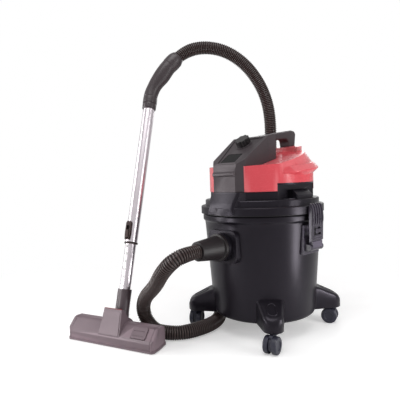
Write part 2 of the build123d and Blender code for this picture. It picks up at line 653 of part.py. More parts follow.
# Hose cuff at the inlet
SPIGOT_R = PORT_BORE_R - 0.3
cuff_line = [
    (HOSE_R - 1, PLATE_Y - 26),
    (SPIGOT_R, PLATE_Y - 26),
    (SPIGOT_R, PLATE_Y + COLLAR_LONG + 0.5),
    (SPIGOT_R + 7, PLATE_Y + COLLAR_LONG + 0.5),
    (SPIGOT_R + 7, PLATE_Y + 20),
    (SPIGOT_R + 2, PLATE_Y + 21),
    (SPIGOT_R + 1, PLATE_Y + 34),
    (SPIGOT_R - 2.5, PLATE_Y + 68),
    (HOSE_R + 6.5, PLATE_Y + 88),
    (HOSE_R, PLATE_Y + 88),
    (HOSE_R, PLATE_Y + 70),
    (HOSE_R - 1, PLATE_Y + 70),
]
cuff = turned(cuff_line)
add("hose_inlet_cuff", Pos(0, 0, INLET_Z) * Rot(90, 0, 0) * cuff)

# Floor tool, made in its own frame: X along the tool, front towards -Y
tool_at = Pos(TOOL_X, TOOL_Y, 0) * Rot(0, 0, TOOL_YAW)


def tool_plan(grow):
    front = TOOL_FRONT + grow
    back = TOOL_REAR + grow
    half = TOOL_HALF + grow
    rear_half = TOOL_REAR_HALF + grow
    return both_sides([(half - 6, -front), (half, -front + 6), (half, -10), (rear_half + 1, back - 6),
                       (rear_half - 5, back)])


def tool_side(skin):
    front = TOOL_FRONT - skin
    back = TOOL_REAR - skin
    top = TOOL_TOP - skin
    low = SOLE_TOP - skin / 6
    return [(-front + 0.5, low), (-front, top - 33), (-front + 2.5, top - 26),
            (-12 + skin / 3, top - 3), (-4, top), (14, top - 1), (back - 5, top - 9),
            (back, top - 21), (back, low)]


TOOL_SKIN = 3.0
WIDE = TOOL_HALF + 4
shell = side_shape(tool_side(0.0), WIDE) & plan_shape(tool_plan(0.0), 0, TOOL_TOP + 5)
cavity = side_shape(tool_side(TOOL_SKIN), WIDE)
shell = shell - (cavity & plan_shape(tool_plan(-TOOL_SKIN), 0, TOOL_TOP + 5))

# Raised hood in front of the neck, with cheeks that fall to the rear
HUMP_SIDE = [
    (-TOOL_FRONT + 1.0, TOOL_TOP - 35),
    (-TOOL_FRONT + 1.5, TOOL_TOP - 27),
    (-20, HUMP_TOP - 20),
    (-14.5, HUMP_TOP - 4),
    (-13.5, HUMP_TOP),
    (-10.0, HUMP_TOP),
    (-5, HUMP_TOP - 3),
    (8, HUMP_TOP - 23),
    (24, TOOL_TOP - 1),
    (TOOL_REAR - 1, TOOL_TOP - 11),
    (TOOL_REAR, TOOL_TOP - 23),
    (TOOL_REAR, NECK_Z - 12),
    (20, NECK_Z - 12),
]
HUMP_HALF = 28.5
HUMP_END = both_sides([
    (HUMP_HALF + 7.5, NECK_Z - 14),
    (HUMP_HALF + 6, TOOL_TOP - 27),
    (HUMP_HALF, HUMP_TOP + 0.5),
])
hump = side_shape(HUMP_SIDE, HUMP_HALF + 20) & end_shape(HUMP_END, TOOL_FRONT + 20)
shell = shell - hump
THROAT_HALF = NECK_R + 4.0
THROAT_Y = NECK_Y - NECK_R - 1.3
TRUNNION_R = 5.0
throat = block(-THROAT_HALF, THROAT_HALF, THROAT_Y, TOOL_REAR + 7, NECK_Z - NECK_R, HUMP_TOP + 8)
trunnion = rod_x(TRUNNION_R + RUN, -THROAT_HALF - 8, THROAT_HALF + 8, NECK_Y, NECK_Z)
shell = shell - throat - trunnion
hump = hump - throat - trunnion
throat_plan = both_sides([(THROAT_HALF, -TOOL_FRONT), (THROAT_HALF, TOOL_REAR)])
throat_room = plan_shape(throat_plan, 0, TOOL_TOP + 5)
hump = hump - (cavity & throat_room)

# Brush pedal on the sloping front, on a pivot rod along its upper edge
PEDAL_AT = 90.0
PEDAL_W = 44.0
PEDAL_L = 30.0
PEDAL_GAP = 1.2
ROD_R = 2.0
slope_low = (-TOOL_FRONT + 2.5, TOOL_TOP - 26)
slope_high = (-12.0, TOOL_TOP - 3)
pedal_slope = math.atan2(slope_high[1] - slope_low[1], slope_high[0] - slope_low[0])
pedal_middle = (PEDAL_AT, (slope_low[0] + slope_high[0]) / 2, (slope_low[1] + slope_high[1]) / 2)
pedal_up = (0, -math.sin(pedal_slope), math.cos(pedal_slope))
pedal_plane = Plane(pedal_middle, x_dir=(1, 0, 0), z_dir=pedal_up)
rod_v = PEDAL_L / 2 - 3.0
rod_depth = -4.5


def pedal_rod(r, half):
    start = pedal_plane.from_local_coords((-half, rod_v, rod_depth))
    return rod_x(r, start.X, start.X + 2 * half, start.Y, start.Z)


ears = extrude(pedal_plane.offset(-9.0) * Pos(0, rod_v) * Rectangle(PEDAL_W + 14, 10), 7.0)
shell = shell + ears
opening = extrude(pedal_plane * Rectangle(PEDAL_W + 1.2, PEDAL_L + 2 * PEDAL_GAP), 12, both=True)
shell = shell - opening - pedal_rod(ROD_R + RUN, PEDAL_W / 2 + 5.5)
pedal = extrude(pedal_plane.offset(-3.5) * RectangleRounded(PEDAL_W, PEDAL_L, 3), 6.0)
for v in (-8.0, 5.0):
    pedal = pedal - extrude(pedal_plane.offset(1.3) * Pos(0, v) * Rectangle(PEDAL_W - 10, 2.4), 5)
pedal = pedal + pedal_rod(ROD_R, PEDAL_W / 2 + 5.0)
rod_mid = pedal_plane.from_local_coords((0, rod_v, rod_depth))
print("pedal rod", round(rod_mid.X, 3), round(rod_mid.Y, 3), round(rod_mid.Z, 3))
roller_y = 24.0
roller_r = 5.0
for x in (-70.0, 70.0):
    shell = shell - block(x - 7, x + 7, roller_y - 7.5, roller_y + 7.5, 0, 14.5)
add("nozzle_shell", tool_at * shell)
add("nozzle_hood", tool_at * hump)
trim_half = HUMP_HALF - 0.5
trim = block(-trim_half, trim_half, -13.3, THROAT_Y - 0.3, HUMP_TOP, HUMP_TOP + 1.4)
add("hood_trim", tool_at * trim)
add("pedal", tool_at * pedal)
sole = plan_shape(tool_plan(1.5), 2.0, SOLE_TOP)
sole = sole - block(-105, 105, -12, 4, 0, 10)
for y0 in (-23.0, 9.0):
    sole = sole - block(-108, 108, y0 - 0.4, y0 + 5.4, 0, 10)
for x in (-70.0, 70.0):
    sole = sole - block(x - 7, x + 7, roller_y - 7.5, roller_y + 7.5, 0, 14.5)
for x in (-70.0, 70.0):
    sole = sole - rod_x(1.2 + RUN, x - 9, x + 9, roller_y, roller_r)
sole = sole - block(-108, -96, -23.4, 14.4, 5.0, 10) - block(96, 108, -23.4, 14.4, 5.0, 10)
add("sole_plate", tool_at * sole)
brush = Part() + block(-107.6, 107.6, -23.0, -18.0, 0.5, 9.0) + block(26, 107.6, 9.0, 14.0, 0.5, 9.0)
brush = brush + block(-107.6, -26, 9.0, 14.0, 0.5, 9.0)
brush = brush + block(-107.6, -96.4, -23.0, 14.0, 6.0, 9.0) + block(96.4, 107.6, -23.0, 14.0, 6.0, 9.0)
add("brush_strips", tool_at * brush)
rollers = Part()
for x in (-70.0, 70.0):
    rollers = rollers + rod_x(roller_r, x - 5, x + 5, roller_y, roller_r)
    rollers = rollers + rod_x(1.2, x - 8.5, x + 8.5, roller_y, roller_r)
add("nozzle_rollers", tool_at * rollers)

# Neck and wand, made with Z along the wand from the neck's pivot
wand_at = tool_at * Pos(0, NECK_Y, NECK_Z) * Rot(-LEAN, 0, 0)
neck = rod_x(NECK_R - 0.5, -THROAT_HALF + 1, THROAT_HALF - 1)
neck = neck + disc(NECK_R, 0, NECK_TOP) + disc(NECK_R + 1.2, 36, 44)
SEAT = NECK_TOP - 46.0
neck = neck - disc(LOWER_R - 2.0, -30, SEAT) - disc(LOWER_R, SEAT, NECK_TOP + 1)
for x in (-THROAT_HALF - 7, THROAT_HALF - 4):
    neck = neck + rod_x(TRUNNION_R, x, x + 11)
add("neck_cuff", wand_at * neck)
add("wand_lower", wand_at * (disc(LOWER_R, SEAT, LOWER_TOP) - disc(LOWER_R - 1.4, SEAT - 2, LOWER_TOP + 1)))
upper = disc(UPPER_R, UPPER_FROM, UPPER_TOP) - disc(UPPER_IN_R, UPPER_FROM - 1, UPPER_TOP + 1)
add("wand_upper", wand_at * upper)
catch_ring = disc(UPPER_R + 2.8, UPPER_FROM - 8, UPPER_FROM + 10)
lock_box = block(-7.5, 7.5, -UPPER_R - 7, -UPPER_R + 5, UPPER_FROM + 6, UPPER_FROM + 56)
catch_ring = catch_ring + lock_box - disc(UPPER_R, UPPER_FROM, UPPER_TOP)
catch_ring = catch_ring - disc(LOWER_R + 0.35, UPPER_FROM - 20, UPPER_TOP)
catch_ring = catch_ring - block(-4.6, 4.6, -UPPER_R - 13, -UPPER_R - 3, UPPER_FROM + 14, UPPER_FROM + 50)
add("wand_collar", wand_at * catch_ring)
button = block(-4.3, 4.3, -UPPER_R - 9.5, -UPPER_R - 3.2, UPPER_FROM + 16, UPPER_FROM + 38)
add("lock_button", wand_at * button)


# Hand grip: sleeve on the wand, two bends, end for the hose
def wand_point(t):
    return (wand_at * Pos(0, 0, t)).position


grip_root = wand_point(UPPER_TOP)
grip_points = [
    wand_point(UPPER_TOP - 12),
    wand_point(UPPER_TOP + 44),
    grip_root + Vector(14.05, 40.05, 98.1),
    grip_root + Vector(32.05, 71.05, 133.1),
]
grip_line = FilletPolyline(*grip_points, radius=42)
grip_start = Plane(grip_line @ 0, z_dir=grip_line % 0)
grip_out = sweep(grip_start * Circle(HAND_R), path=grip_line)
grip_in = sweep(grip_start * Circle(UPPER_R - 1.2), path=grip_line)
grip = grip_out - grip_in
socket = wand_at * disc(UPPER_R, UPPER_TOP - 50, UPPER_TOP)
band = disc(HAND_R + 2.2, UPPER_TOP - 12, UPPER_TOP - 2) - disc(UPPER_R, UPPER_TOP - 50, UPPER_TOP + 50)
grip = grip - socket + wand_at * band
add("hand_grip", grip)
air_ring = disc(HAND_R + 2.6, UPPER_TOP + 6, UPPER_TOP + 26) - disc(HAND_R + RUN, UPPER_TOP, UPPER_TOP + 30)
add("air_ring", wand_at * air_ring)
end_dir = (grip_points[3] - grip_points[2]).normalized()
end_plane = Plane(grip_points[3] - end_dir * 14.0, z_dir=end_dir)
end_ring = extrude(end_plane * Circle(HAND_R + 5.0), 37.0) - extrude(end_plane * Circle(HAND_R), 14.0)
end_ring = end_ring - extrude(end_plane.offset(14.0) * Circle(HOSE_R), 40)
add("hose_end_cuff", end_ring)

# Hose as a plain tube through its control points
hose_points = [
    Vector(0, -PLATE_Y - 71, INLET_Z),
    Vector(0, -PLATE_Y - 118, INLET_Z),
    Vector(-15, -321, 234),
    Vector(-54, -326, 198),
    Vector(-108, -306, 154),
    Vector(-180, -294, 106),
    Vector(-196, -287, 58),
    Vector(-162, -279, HOSE_R),
    Vector(-117, -266, HOSE_R),
    Vector(-86, -237, HOSE_R),
    Vector(-76, -192, HOSE_R),
    Vector(-76, -147, HOSE_R),
    Vector(-89, -101, HOSE_R),
    Vector(-120, -60, HOSE_R),
    Vector(-158, -14, 22),
    Vector(-188, 44, 58),
    Vector(-195, 98, 122),
    Vector(-179, 142, 205),
    Vector(-151, 173, 292),
    Vector(-119, 187, 381),
    Vector(-97, 178, 468),
    Vector(-86, 163, 540),
    Vector(-82, 159, 603),
    Vector(-87, 153, 664),
    Vector(-100, 132, 725),
    Vector(-124, 93, 784),
    Vector(-157, 38, 824),
    Vector(-194, -23, 834),
    grip_points[3] + end_dir * 46.0,
    grip_points[3] + end_dir * 0.3,
]


def hose_radii(points):
    lines = []
    for a, b, c in zip(points, points[1:], points[2:]):
        turn = (b - a).get_angle(c - b)
        run_mm = min((b - a).length, (c - b).length)
        lines.append(0.45 * run_mm / math.tan(math.radians(max(turn, 1.0) / 2)))
    return lines


def hose_path(points):
    pieces = []
    last = points[0]
    for k, radius in enumerate(hose_radii(points)):
        a, b, c = points[k], points[k + 1], points[k + 2]
        run_mm = 0.45 * min((b - a).length, (c - b).length)
        enter = b - (b - a).normalized() * run_mm
        leave = b + (c - b).normalized() * run_mm
        pieces.append(Line(last, enter))
        pieces.append(TangentArc(enter, leave, tangent=(b - a).normalized()))
        last = leave
    pieces.append(Line(last, points[-1]))
    return Wire([e for p in pieces for e in p.edges()])


radii = hose_radii(hose_points)
hose_line = hose_path(hose_points)
hose_start = Plane(hose_points[0], z_dir=(hose_points[1] - hose_points[0]).normalized())
hose = sweep(hose_start * Circle(HOSE_R - 0.1), path=hose_line)
add("hose", hose)
print("hose radii", [round(r) for r in radii])
section = math.pi * (HOSE_R - 0.1) ** 2
filled = hose.volume / (section * hose_line.length)
print("hose length", round(hose_line.length), "volume ratio", round(filled, 4))

boxes = [shape.bounding_box() for name, shape in nodes.items() if name != "hose"]
low_x = min(b.min.X for b in boxes) + AXIS_X
high_x = max(b.max.X for b in boxes) + AXIS_X
low_y = min(b.min.Y for b in boxes) + AXIS_Y
high_y = max(b.max.Y for b in boxes) + AXIS_Y
print("box without hose", round(low_x, 2), round(high_x, 2), round(low_y, 2), round(high_y, 2))

os.makedirs("parts", exist_ok=True)
for name, shape in nodes.items():
    export_step(Pos(AXIS_X, AXIS_Y, 0) * shape, "parts/" + name + ".step")
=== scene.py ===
import json
import math

import bmesh
import bpy
from bpy.props import FloatProperty, FloatVectorProperty, IntProperty, PointerProperty
from mathutils import Matrix, Vector


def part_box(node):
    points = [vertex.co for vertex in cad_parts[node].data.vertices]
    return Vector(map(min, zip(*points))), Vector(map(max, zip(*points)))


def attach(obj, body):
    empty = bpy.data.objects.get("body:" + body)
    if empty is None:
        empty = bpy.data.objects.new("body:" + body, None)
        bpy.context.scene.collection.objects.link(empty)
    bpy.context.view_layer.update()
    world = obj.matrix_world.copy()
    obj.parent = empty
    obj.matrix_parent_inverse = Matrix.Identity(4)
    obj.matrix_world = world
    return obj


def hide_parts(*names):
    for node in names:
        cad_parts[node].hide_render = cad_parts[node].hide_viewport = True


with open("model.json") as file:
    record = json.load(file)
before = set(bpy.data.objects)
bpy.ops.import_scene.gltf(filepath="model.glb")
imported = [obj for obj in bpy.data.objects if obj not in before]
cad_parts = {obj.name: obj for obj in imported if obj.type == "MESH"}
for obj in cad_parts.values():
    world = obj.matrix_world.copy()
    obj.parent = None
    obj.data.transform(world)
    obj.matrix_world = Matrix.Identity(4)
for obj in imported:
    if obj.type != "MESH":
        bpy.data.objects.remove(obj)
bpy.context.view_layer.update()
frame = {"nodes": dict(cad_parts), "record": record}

bl_info = {
    "name": "Shop vacuum",
    "version": (1, 0, 0),
    "blender": (4, 5, 0),
    "location": "View3D > Sidebar > Shop vacuum",
    "description": "Dresses the shop vacuum with its hose, wand and floor tool",
    "category": "Object",
}

BODY_OF = {node: body for body, names in frame["record"]["behaviour"]["bodies"].items() for node in names}
SLOT_OF = {entry["node"]: entry["material_slot"] for entry in frame["record"]["subparts"]}
DRUM_LOW, DRUM_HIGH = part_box("drum_shell")
AXIS_X = (DRUM_LOW.x + DRUM_HIGH.x) / 2
AXIS_Y = (DRUM_LOW.y + DRUM_HIGH.y) / 2

# Pieces are drawn in millimetres about the drum's axis, and this takes them to metres in the shared frame
MM = 0.001
TO_FRAME = Matrix.Translation((AXIS_X, AXIS_Y, 0.0)) @ Matrix.Scale(MM, 4)


def spot(x, y, z):
    """A place in the shared frame, from millimetres about the drum's axis."""
    return TO_FRAME @ Vector((x, y, z))


def turn(degrees, axis):
    return Matrix.Rotation(math.radians(degrees), 4, axis)


def shift(x, y, z):
    return Matrix.Translation((x, y, z))


# The floor tool stands to the front left, and the wand leans from the pivot of its neck
TOOL_PLACE = (-207.0, -365.0, 0.0)
TOOL_TURN = 20.0
NECK_PIVOT = (0.0, 10.0, 28.0)
WAND_LEAN = -16.9
TOOL_AT = shift(*TOOL_PLACE) @ turn(TOOL_TURN, "Z")
WAND_AT = TOOL_AT @ shift(*NECK_PIVOT) @ turn(WAND_LEAN, "X")


# Sizes and colours that a user would change
class VacuumSizes(bpy.types.PropertyGroup):
    hose_pitch: FloatProperty(name="Hose rings", description="Distance between two hose rings",
                              default=0.0056, unit="LENGTH")
    hose_depth: FloatProperty(name="Hose groove", description="Depth of the groove between rings",
                              default=0.0024, unit="LENGTH")
    hose_length: FloatProperty(name="Hose length", description="Length of the hose along its line",
                               default=1.858, unit="LENGTH")
    hose_diameter: FloatProperty(name="Hose diameter", description="Diameter of the hose in its cuffs",
                                 default=0.036, unit="LENGTH")
    dent_gap: FloatProperty(name="Wand dents", description="Distance between two height stops",
                            default=0.021, unit="LENGTH")
    round_steps: IntProperty(name="Round steps", description="Steps round a turned piece", default=128)


COLOUR = {"subtype": "COLOR", "size": 4}


class VacuumColours(bpy.types.PropertyGroup):
    drum: FloatVectorProperty(name="Drum", description="Black satin plastic of the drum and its feet",
                              default=(0.0088, 0.0074, 0.0105, 1.0), **COLOUR)
    red: FloatVectorProperty(name="Cover", description="Glossy red of the motor cover",
                             default=(0.70, 0.075, 0.095, 1.0), **COLOUR)
    column: FloatVectorProperty(name="Column", description="Charcoal plastic of the control column",
                                default=(0.050, 0.041, 0.045, 1.0), **COLOUR)
    hose: FloatVectorProperty(name="Hose", description="Brownish black of the hose",
                              default=(0.021, 0.0125, 0.0118, 1.0), **COLOUR)
    tool: FloatVectorProperty(name="Floor tool", description="Warm grey black of the floor tool",
                              default=(0.150, 0.107, 0.124, 1.0), **COLOUR)
    grip: FloatVectorProperty(name="Grip", description="Brownish grey black of the hand grip",
                              default=(0.050, 0.038, 0.042, 1.0), **COLOUR)
    chrome: FloatVectorProperty(name="Tube", description="Chromed steel of the wand",
                                default=(0.84, 0.775, 0.82, 1.0), **COLOUR)
    caster: FloatVectorProperty(name="Caster", description="Bluish black of the caster wheels",
                                default=(0.026, 0.026, 0.042, 1.0), **COLOUR)


# Shader expressions
class Value:
    """A socket whose arithmetic adds Math nodes to its material."""

    def __init__(self, paint, socket):
        self.paint = paint
        self.socket = socket

    def step(self, operation, a, b):
        return self.paint.make("ShaderNodeMath", {"operation": operation}, {0: a, 1: b})

    def __add__(self, other):
        return self.step("ADD", self, other)

    def __radd__(self, other):
        return self.step("ADD", other, self)

    def __sub__(self, other):
        return self.step("SUBTRACT", self, other)

    def __rsub__(self, other):
        return self.step("SUBTRACT", other, self)

    def __mul__(self, other):
        return self.step("MULTIPLY", self, other)

    def __rmul__(self, other):
        return self.step("MULTIPLY", other, self)


class Paint:
    """The nodes of one material or world, with a single method that makes them."""

    def __init__(self, owner):
        owner.use_nodes = True
        self.owner = owner
        self.tree = owner.node_tree
        self.tree.nodes.clear()

    def make(self, kind, settings, inputs, out=0):
        """Adds a node, with its settings first, and gives one of its outputs if it has any."""
        node = self.tree.nodes.new(kind)
        for name, value in settings.items():
            setattr(node, name, value)
        for name, value in inputs.items():
            if isinstance(value, Value):
                self.tree.links.new(value.socket, node.inputs[name])
            else:
                node.inputs[name].default_value = value
        return Value(self, node.outputs[out]) if node.outputs else None

    def noise(self, where, scale, detail=2.0, rough=0.5):
        return self.make("ShaderNodeTexNoise", {},
                         {"Vector": where, "Scale": scale, "Detail": detail, "Roughness": rough})

    def blend(self, factor, a, b):
        return self.make("ShaderNodeMix", {"data_type": "RGBA"}, {0: factor, 6: a, 7: b}, 2)

    def remap(self, value, low, high):
        return self.make("ShaderNodeMapRange", {"interpolation_type": "SMOOTHSTEP"},
                         {"Value": value, "From Min": low, "From Max": high})

    def stretch(self, where, scale):
        return self.make("ShaderNodeVectorMath", {"operation": "MULTIPLY"}, {0: where, 1: scale})

    def place(self):
        return self.make("ShaderNodeTexCoord", {}, {}, "Object")

    def edges(self, low, high):
        return self.remap(self.make("ShaderNodeNewGeometry", {}, {}, "Pointiness"), low, high)

    def ray(self, kind):
        return self.make("ShaderNodeLightPath", {}, {}, kind)

    def bump(self, height, distance):
        return self.make("ShaderNodeBump", {}, {"Height": height, "Distance": distance})

    def skin(self, varying, fixed):
        """Closes a material with what varies over the surface and what is the same all over it."""
        shader = self.make("ShaderNodeBsdfPrincipled", {}, {**fixed, **varying})
        self.make("ShaderNodeOutputMaterial", {}, {0: shader})
        return self.owner


WHITE = (1.0, 1.0, 1.0, 1.0)


def shade(colour, gain):
    return (colour[0] * gain, colour[1] * gain, colour[2] * gain, 1.0)


def start(name):
    return Paint(bpy.data.materials.new(name))


def moulded(name, colour, rough, grain=0.00003, grain_size=0.0008, edge_wear_and_highlight=1.6, specular=0.5, scuffs=0.07,
            drifts=0.10, tint=WHITE):
    """Moulded plastic: fine grain, slow colour drift, and paler edges that are partly wear and partly a
    painted highlight.
    """
    p = start(name)
    where = p.place()
    drift = p.noise(where, scale=22.0, detail=3.0)
    fine = p.noise(where, scale=1.0 / grain_size, rough=0.6)
    rubbed = p.noise(p.stretch(where, (60.0, 60.0, 9.0)), scale=6.0, detail=4.0, rough=0.7)
    scuff = p.remap(rubbed, low=0.56, high=0.74)
    body = p.blend(drift, shade(colour, 0.86), shade(colour, 1.14))
    # Paler edges from pointiness: partly wear, partly a painted highlight for light caught along the edges
    worn_and_lit_edges = p.blend(p.edges(low=0.53, high=0.62) * 0.7, body, shade(colour, edge_wear_and_highlight))
    return p.skin({"Base Color": worn_and_lit_edges,
                   "Roughness": rough + (drift - 0.5) * drifts + scuff * scuffs,
                   "Normal": p.bump(fine, grain)},
                  {"Specular IOR Level": specular, "Specular Tint": tint})


def gloss_red(name, colour):
    """Glossy red cover: clear coat, slight waviness, hairline scuffs in the gloss, and pale pink edges
    that are partly wear and partly a painted highlight.
    """
    p = start(name)
    where = p.place()
    drift = p.noise(where, scale=14.0)
    wave = p.noise(where, scale=95.0)
    brushed = p.noise(p.stretch(where, (40.0, 40.0, 420.0)), scale=3.0, detail=3.0)
    hair = p.remap(brushed, low=0.60, high=0.70)
    body = p.blend(drift, shade(colour, 0.90), shade(colour, 1.08))
    # Pale pink on the edges: partly wear, partly a painted highlight of the cover's glossy ridges
    worn_and_lit_edges = p.blend(p.edges(low=0.53, high=0.64) * 0.45, body, (0.86, 0.22, 0.24, 1.0))
    return p.skin({"Base Color": worn_and_lit_edges,
                   "Roughness": 0.27 + (drift - 0.5) * 0.08 + hair * 0.06,
                   "Normal": p.bump(wave, distance=0.00010)},
                  {"Coat Weight": 0.20, "Coat Roughness": 0.14, "Specular IOR Level": 0.42})


def chromed(name, colour):
    """Chromed tube: polished, with slow streaks and faint water marks."""
    p = start(name)
    where = p.place()
    drift = p.noise(where, scale=30.0)
    mark = p.remap(p.noise(where, scale=170.0, detail=4.0, rough=0.65), low=0.54, high=0.72)
    return p.skin({"Base Color": p.blend(mark * 0.4, colour, shade(colour, 0.88)),
                   "Roughness": 0.27 + drift * 0.06 + mark * 0.06},
                  {"Metallic": 1.0})


def ribbed_hose(name, colour):
    """Hose plastic: painted shade darkens the grooves and a painted highlight lightens the crests, which
    are also glossier.
    """
    p = start(name)
    where = p.place()
    drift = p.noise(where, scale=40.0, detail=3.0)
    fine = p.noise(where, scale=900.0)
    crest = p.edges(low=0.49, high=0.56)
    # Darker grooves are painted shade, and paler crests are a painted highlight of the ring edges
    return p.skin({"Base Color": p.blend(crest, shade(colour, 0.6), shade(colour, 2.4)),
                   "Roughness": 0.55 - crest * 0.15 + (drift - 0.5) * 0.12,
                   "Coat Weight": crest * 0.9,
                   "Normal": p.bump(fine, distance=0.00003)},
                  {"Specular IOR Level": 0.15, "Coat Roughness": 0.14})


def clear_dark(name):
    """Smoked window: dark, very smooth, with faint dust."""
    p = start(name)
    dust = p.remap(p.noise(p.place(), scale=1500.0, detail=3.0, rough=0.7), low=0.62, high=0.80)
    smoke = p.blend(dust * 0.4, (0.005, 0.0045, 0.005, 1.0), (0.03, 0.027, 0.027, 1.0))
    return p.skin({"Base Color": smoke,
                   "Roughness": 0.22 + dust * 0.2},
                  {"Specular IOR Level": 0.10})


def bristles(name):
    """Brush hair: dark with streaks along the hairs."""
    p = start(name)
    hair = p.noise(p.stretch(p.place(), (2600.0, 2600.0, 40.0)), scale=1.0)
    return p.skin({"Base Color": p.blend(hair, (0.006, 0.006, 0.006, 1.0), (0.05, 0.046, 0.044, 1.0)),
                   "Roughness": 0.55 + hair * 0.2,
                   "Normal": p.bump(hair, distance=0.0004)},
                  {"Specular IOR Level": 0.4})


def steel(name):
    """Plain motor steel: rolled streaks and spots."""
    p = start(name)
    where = p.place()
    streak = p.noise(p.stretch(where, (30.0, 30.0, 500.0)), scale=2.0, detail=3.0)
    spots = p.noise(where, scale=260.0, detail=4.0)
    return p.skin({"Base Color": p.blend(spots, (0.30, 0.30, 0.31, 1.0), (0.52, 0.51, 0.50, 1.0)),
                   "Roughness": 0.32 + streak * 0.18,
                   "Normal": p.bump(streak, distance=0.00002)},
                  {"Metallic": 1.0})


def felt(name):
    """Pleated filter cloth: fibres and grey dust."""
    p = start(name)
    where = p.place()
    fibre = p.noise(where, scale=2200.0, detail=4.0, rough=0.75)
    dust = p.noise(where, scale=60.0, detail=4.0, rough=0.6)
    return p.skin({"Base Color": p.blend(dust, (0.62, 0.60, 0.55, 1.0), (0.40, 0.38, 0.35, 1.0)),
                   "Roughness": 0.88 + fibre * 0.1,
                   "Normal": p.bump(fibre, distance=0.00025)},
                  {"Sheen Weight": 0.25})


FINISHES = {}


def make_finishes(colours):
    drum = tuple(colours.drum)
    column = tuple(colours.column)
    grip = tuple(colours.grip)
    tool = tuple(colours.tool)
    FINISHES.update({
        "drum_plastic": moulded("drum black", drum, rough=0.29, grain=0.00002, grain_size=0.0009, edge_wear_and_highlight=1.9,
                                specular=0.29, scuffs=0.02, drifts=0.02, tint=(0.93, 0.85, 1.0, 1.0)),
        # Latch lifted to 4.2 times the drum's black with very pale edges: partly a lighter black, partly a
        # painted highlight of light caught by its ribs
        "latch_plastic": moulded("latch black", shade(drum, 4.2), rough=0.28, grain=0.00002,
                                 grain_size=0.0007, edge_wear_and_highlight=4.5, scuffs=0.03),
        "red_plastic": gloss_red("cover red", tuple(colours.red)),
        "column_plastic": moulded("column charcoal", column, rough=0.39, grain_size=0.0007, edge_wear_and_highlight=2.8,
                                  specular=0.44, scuffs=0.03, drifts=0.04, tint=(1.0, 0.90, 0.95, 1.0)),
        "knob_black": moulded("knob black", shade(column, 0.32), rough=0.30, grain=0.00002,
                              grain_size=0.0006, edge_wear_and_highlight=3.0),
        "grip_plastic": moulded("grip brown black", grip, rough=0.36, grain=0.00002, grain_size=0.0007,
                                scuffs=0.02, drifts=0.03),
        "cuff_plastic": moulded("cuff black", shade(grip, 0.32), rough=0.42, grain_size=0.0007, edge_wear_and_highlight=1.8,
                                specular=0.34),
        "neck_plastic": moulded("neck brown", shade(tool, 0.45), rough=0.38, grain_size=0.0007, edge_wear_and_highlight=2.0),
        "window_plastic": clear_dark("smoked window"),
        "hose_plastic": ribbed_hose("hose black", tuple(colours.hose)),
        "chrome_tube": chromed("wand chrome", tuple(colours.chrome)),
        "tool_plastic": moulded("floor tool grey", tool, rough=0.45, grain=0.00004),
        "trim_red": moulded("dark red trim", (0.16, 0.012, 0.018, 1.0), rough=0.35),
        "bristle": bristles("brush hair"),
        "soft_rubber": moulded("soft rubber", (0.018, 0.017, 0.017, 1.0), rough=0.68, grain=0.00005,
                               grain_size=0.0011, edge_wear_and_highlight=1.3),
        "motor_steel": steel("motor steel"),
        "filter_cloth": felt("filter cloth"),
        "filter_plastic": moulded("filter plastic", (0.035, 0.035, 0.038, 1.0), rough=0.46),
        "caster_plastic": moulded("caster blue black", tuple(colours.caster), rough=0.34, grain=0.00002,
                                  grain_size=0.0006, edge_wear_and_highlight=2.0),
    })


# Mesh tools: edges over SHARP degrees are rounded, faces within FLAT degrees become one, WELD is in metres
SHARP = 33.0
FLAT = 0.4
WELD = 0.00002

# Edges are picked for a wider rounding if their faces turn by more than this, in radians
PICKED_TURN = 0.2
PICKED_STEPS = 5

# A rounded corner takes at most this share of a side, and is left sharp below this size in millimetres
SIDE_SHARE = 0.48
LEAST_ROUND = 0.01
TINY = 1e-9


def mesh_of(name, bm):
    mesh = bpy.data.meshes.new(name)
    bm.to_mesh(mesh)
    bm.free()
    return mesh


def placed(name, data):
    """A new object of the scene."""
    thing = bpy.data.objects.new(name, data)
    bpy.context.scene.collection.objects.link(thing)
    return thing


def worked_out(thing):
    """The mesh of an object with its curve or modifiers worked out."""
    bpy.context.view_layer.update()
    graph = bpy.context.evaluated_depsgraph_get()
    return bpy.data.meshes.new_from_object(thing.evaluated_get(graph))


def smooth_shaded(mesh, angle):
    mesh.polygons.foreach_set("use_smooth", [True] * len(mesh.polygons))
    mesh.set_sharp_from_angle(angle=math.radians(angle))


def keep(name, bm, body, slot, nodes=(), place=None, smooth=40.0, edge=0.0, steps=2, finish=None):
    """Turns a bmesh drawn in millimetres into a finished piece of the vacuum."""
    if place is not None:
        bm.transform(place)
    bm.transform(TO_FRAME)
    return settle(name, bm, body, slot, nodes, smooth, edge, steps, finish)


def settle(name, bm, body, slot, nodes, smooth, edge=0.0, steps=2, finish=None):
    """Makes a piece from a bmesh in metres, with its finish (the slot's own unless another is named),
    replaced nodes and body.
    """
    bmesh.ops.recalc_face_normals(bm, faces=bm.faces)
    mesh = mesh_of(name, bm)
    smooth_shaded(mesh, smooth)
    mesh.materials.append(FINISHES[finish or slot])
    piece = placed(name, mesh)
    if edge:
        soften(piece, edge, steps)
    if nodes:
        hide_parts(*nodes)
    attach(piece, body)
    return piece


def soften(piece, width, steps):
    bevel = piece.modifiers.new("edges", "BEVEL")
    bevel.width = width
    bevel.segments = steps
    bevel.limit_method = "ANGLE"
    bevel.angle_limit = math.radians(SHARP)
    bevel.harden_normals = True
    bevel.use_clamp_overlap = True
    bevel.miter_outer = "MITER_ARC"


